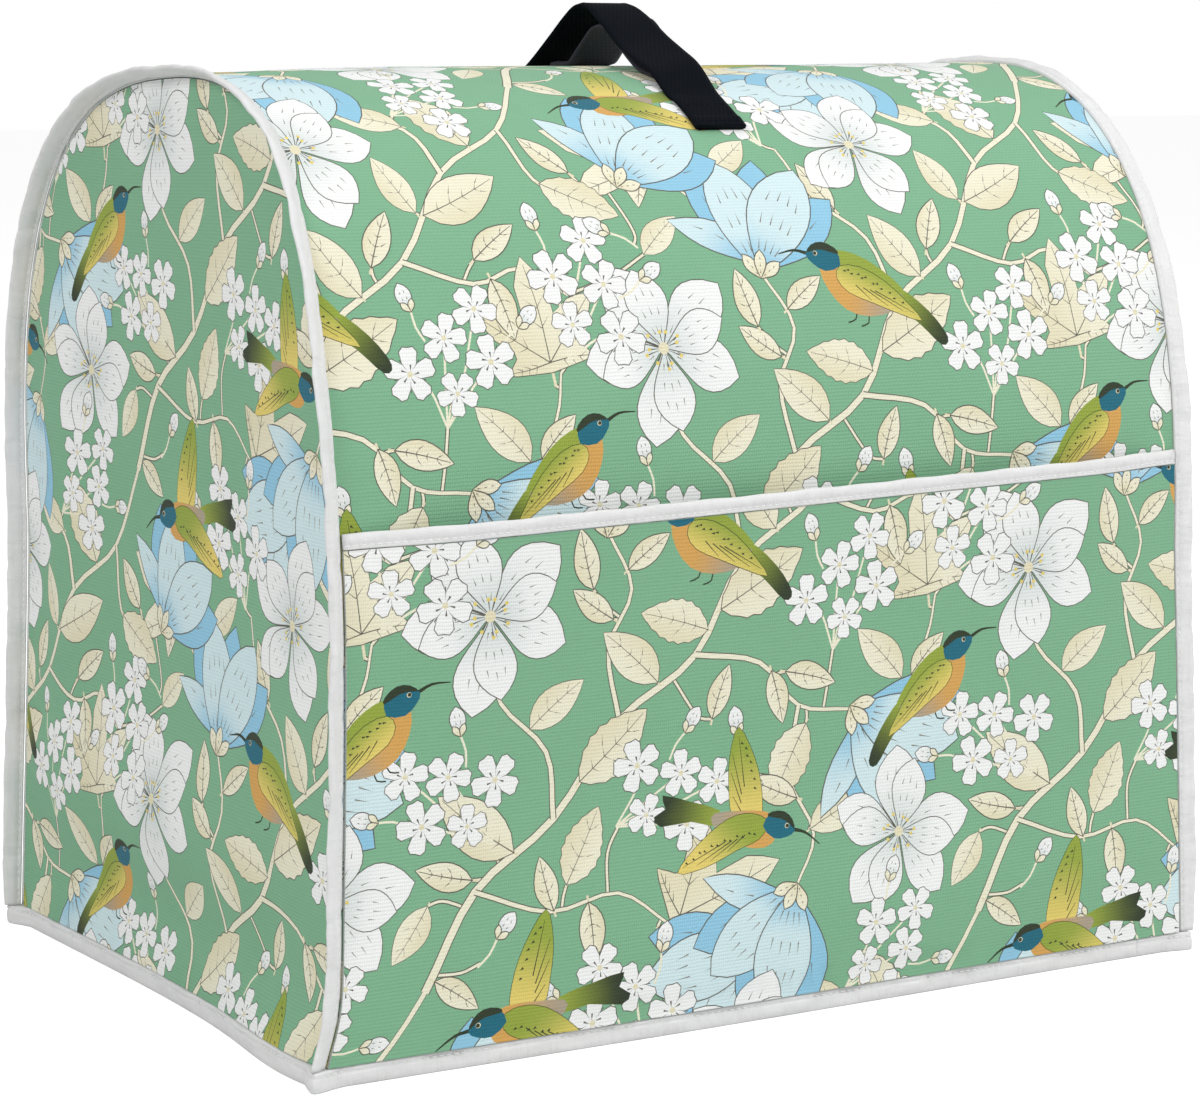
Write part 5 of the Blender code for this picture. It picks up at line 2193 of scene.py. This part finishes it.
LEFT_LEANS = (Lean(-0.44, 30.0), Lean(-0.28, 36.0), Lean(-0.14, 38.0), Lean(0.0, 16.0), Lean(0.12, 18.0),
              Lean(0.22, 22.0), Lean(0.44, 24.0))
RIGHT_LEANS = (Lean(-0.44, 8.0), Lean(-0.28, 12.0), Lean(-0.18, 0.0), Lean(-0.12, -4.0), Lean(0.0, 14.0),
               Lean(0.14, 16.0), Lean(0.44, 22.0))
HANDLE_KNOTS = (
    Knot(-0.0730, 0.3884, 0.0040, 4.0), Knot(-0.0600, 0.3985, 0.0040, 8.0),
    Knot(-0.0460, 0.4048, 0.0040, 10.0), Knot(-0.0340, 0.4100, 0.0042, 11.0),
    Knot(-0.0190, 0.4188, 0.0044, 6.0), Knot(-0.0060, 0.4252, 0.0044, 0.0),
    Knot(0.0030, 0.4256, 0.0042, 0.0), Knot(0.0120, 0.4208, 0.0040, 0.0),
    Knot(0.0260, 0.4112, 0.0040, 0.0), Knot(0.0400, 0.4018, 0.0040, 0.0),
    Knot(0.0500, 0.3962, 0.0040, 0.0),
)
INNER_KNOTS = (
    Knot(-0.0400, 0.3985, 0.0095, 0.0), Knot(-0.0320, 0.4040, 0.0095, 4.0),
    Knot(-0.0230, 0.4112, 0.0095, 8.0), Knot(-0.0130, 0.4176, 0.0095, 9.0),
    Knot(-0.0030, 0.4172, 0.0095, 6.0), Knot(0.0060, 0.4102, 0.0095, 3.0),
    Knot(0.0130, 0.4040, 0.0095, 0.0), Knot(0.0180, 0.4003, 0.0095, 0.0),
)
LEFT_CREASES = folds(
    (-60, 120, 80, 70, 22, 1.2), (50, 200, 100, 80, 24, -1.2), (-20, 300, 70, 60, 18, 1),
    (96, 66, 88, 50, 15, -2.2), (-106, 200, 90, 140, 26, 5), (-10, 82, 0, 140, 26, 5.4),
    (-10, 36, 0, 140, 19, -4.4),
)
RIGHT_CREASES = folds(
    (-50, 150, 100, 80, 22, 1.2), (60, 230, 80, 80, 24, -1.2), (10, 90, 70, 60, 18, 1),
    (10, 78, 0, 130, 26, 2.2),
)


def dress(made: Object, look: Optional[Material]) -> None:
    """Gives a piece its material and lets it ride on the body.

    Args:
        made: The piece.
        look: Its material, unless it has one.
    """
    if look is not None:
        made.data.materials.append(look)
    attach(made, BODY)
    LOG.info("%s: %d faces", made.name, len(made.data.polygons))


def build_cover() -> None:
    """Makes every piece of the cover, from the cloth to the handle."""
    weave, wash = weave_group(), wash_group()
    printed, backing, tape, thread, strap, strap_inner_painted_light, strap_thread = (
        finish.material(weave, wash)
        for finish in (PRINTED, BACKING, TAPE, THREAD, STRAP, STRAP_INNER_PAINTED_LIGHT, STRAP_THREAD))
    form = CoverForm()
    drawing = BotanicalPrint()
    pocket = Pocket(form)
    panels = (MainBand(form), SidePanel(form, "side_left", -1, (-40.0, -60.0), LEFT_CREASES),
              SidePanel(form, "side_right", 1, (-130.0, -150.0), RIGHT_CREASES), pocket)
    for panel in panels:
        dress(panel.build(drawing, (printed, backing)), None)
    corners = (RIGHT_LEANS[0], RIGHT_LEANS[-1], LEFT_LEANS[-1], LEFT_LEANS[0])
    tapes = (SeamBinding(form, "seam_binding_left", -1, LEFT_LEANS),
             SeamBinding(form, "seam_binding_right", 1, RIGHT_LEANS),
             HemBinding(form, tuple(lean.degrees for lean in corners)), PocketBinding(pocket))
    for binding in tapes:
        folded, stitches = binding.build()
        dress(folded, tape)
        dress(stitches, thread)
    for webbing, look in ((Webbing(form, "handle", HANDLE_KNOTS, 0.0230), strap),
                          (Webbing(form, "handle_inner", INNER_KNOTS, 0.0150), strap_inner_painted_light)):
        woven, stitches = webbing.build()
        dress(woven, look)
        dress(stitches, strap_thread)


def main() -> None:
    """Loads the frame, builds the studio and the cover, and logs how large each piece of the cover is."""
    logging.basicConfig(level=logging.INFO)
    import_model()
    Studio().build()
    build_cover()


if __name__ == "__main__":
    main()
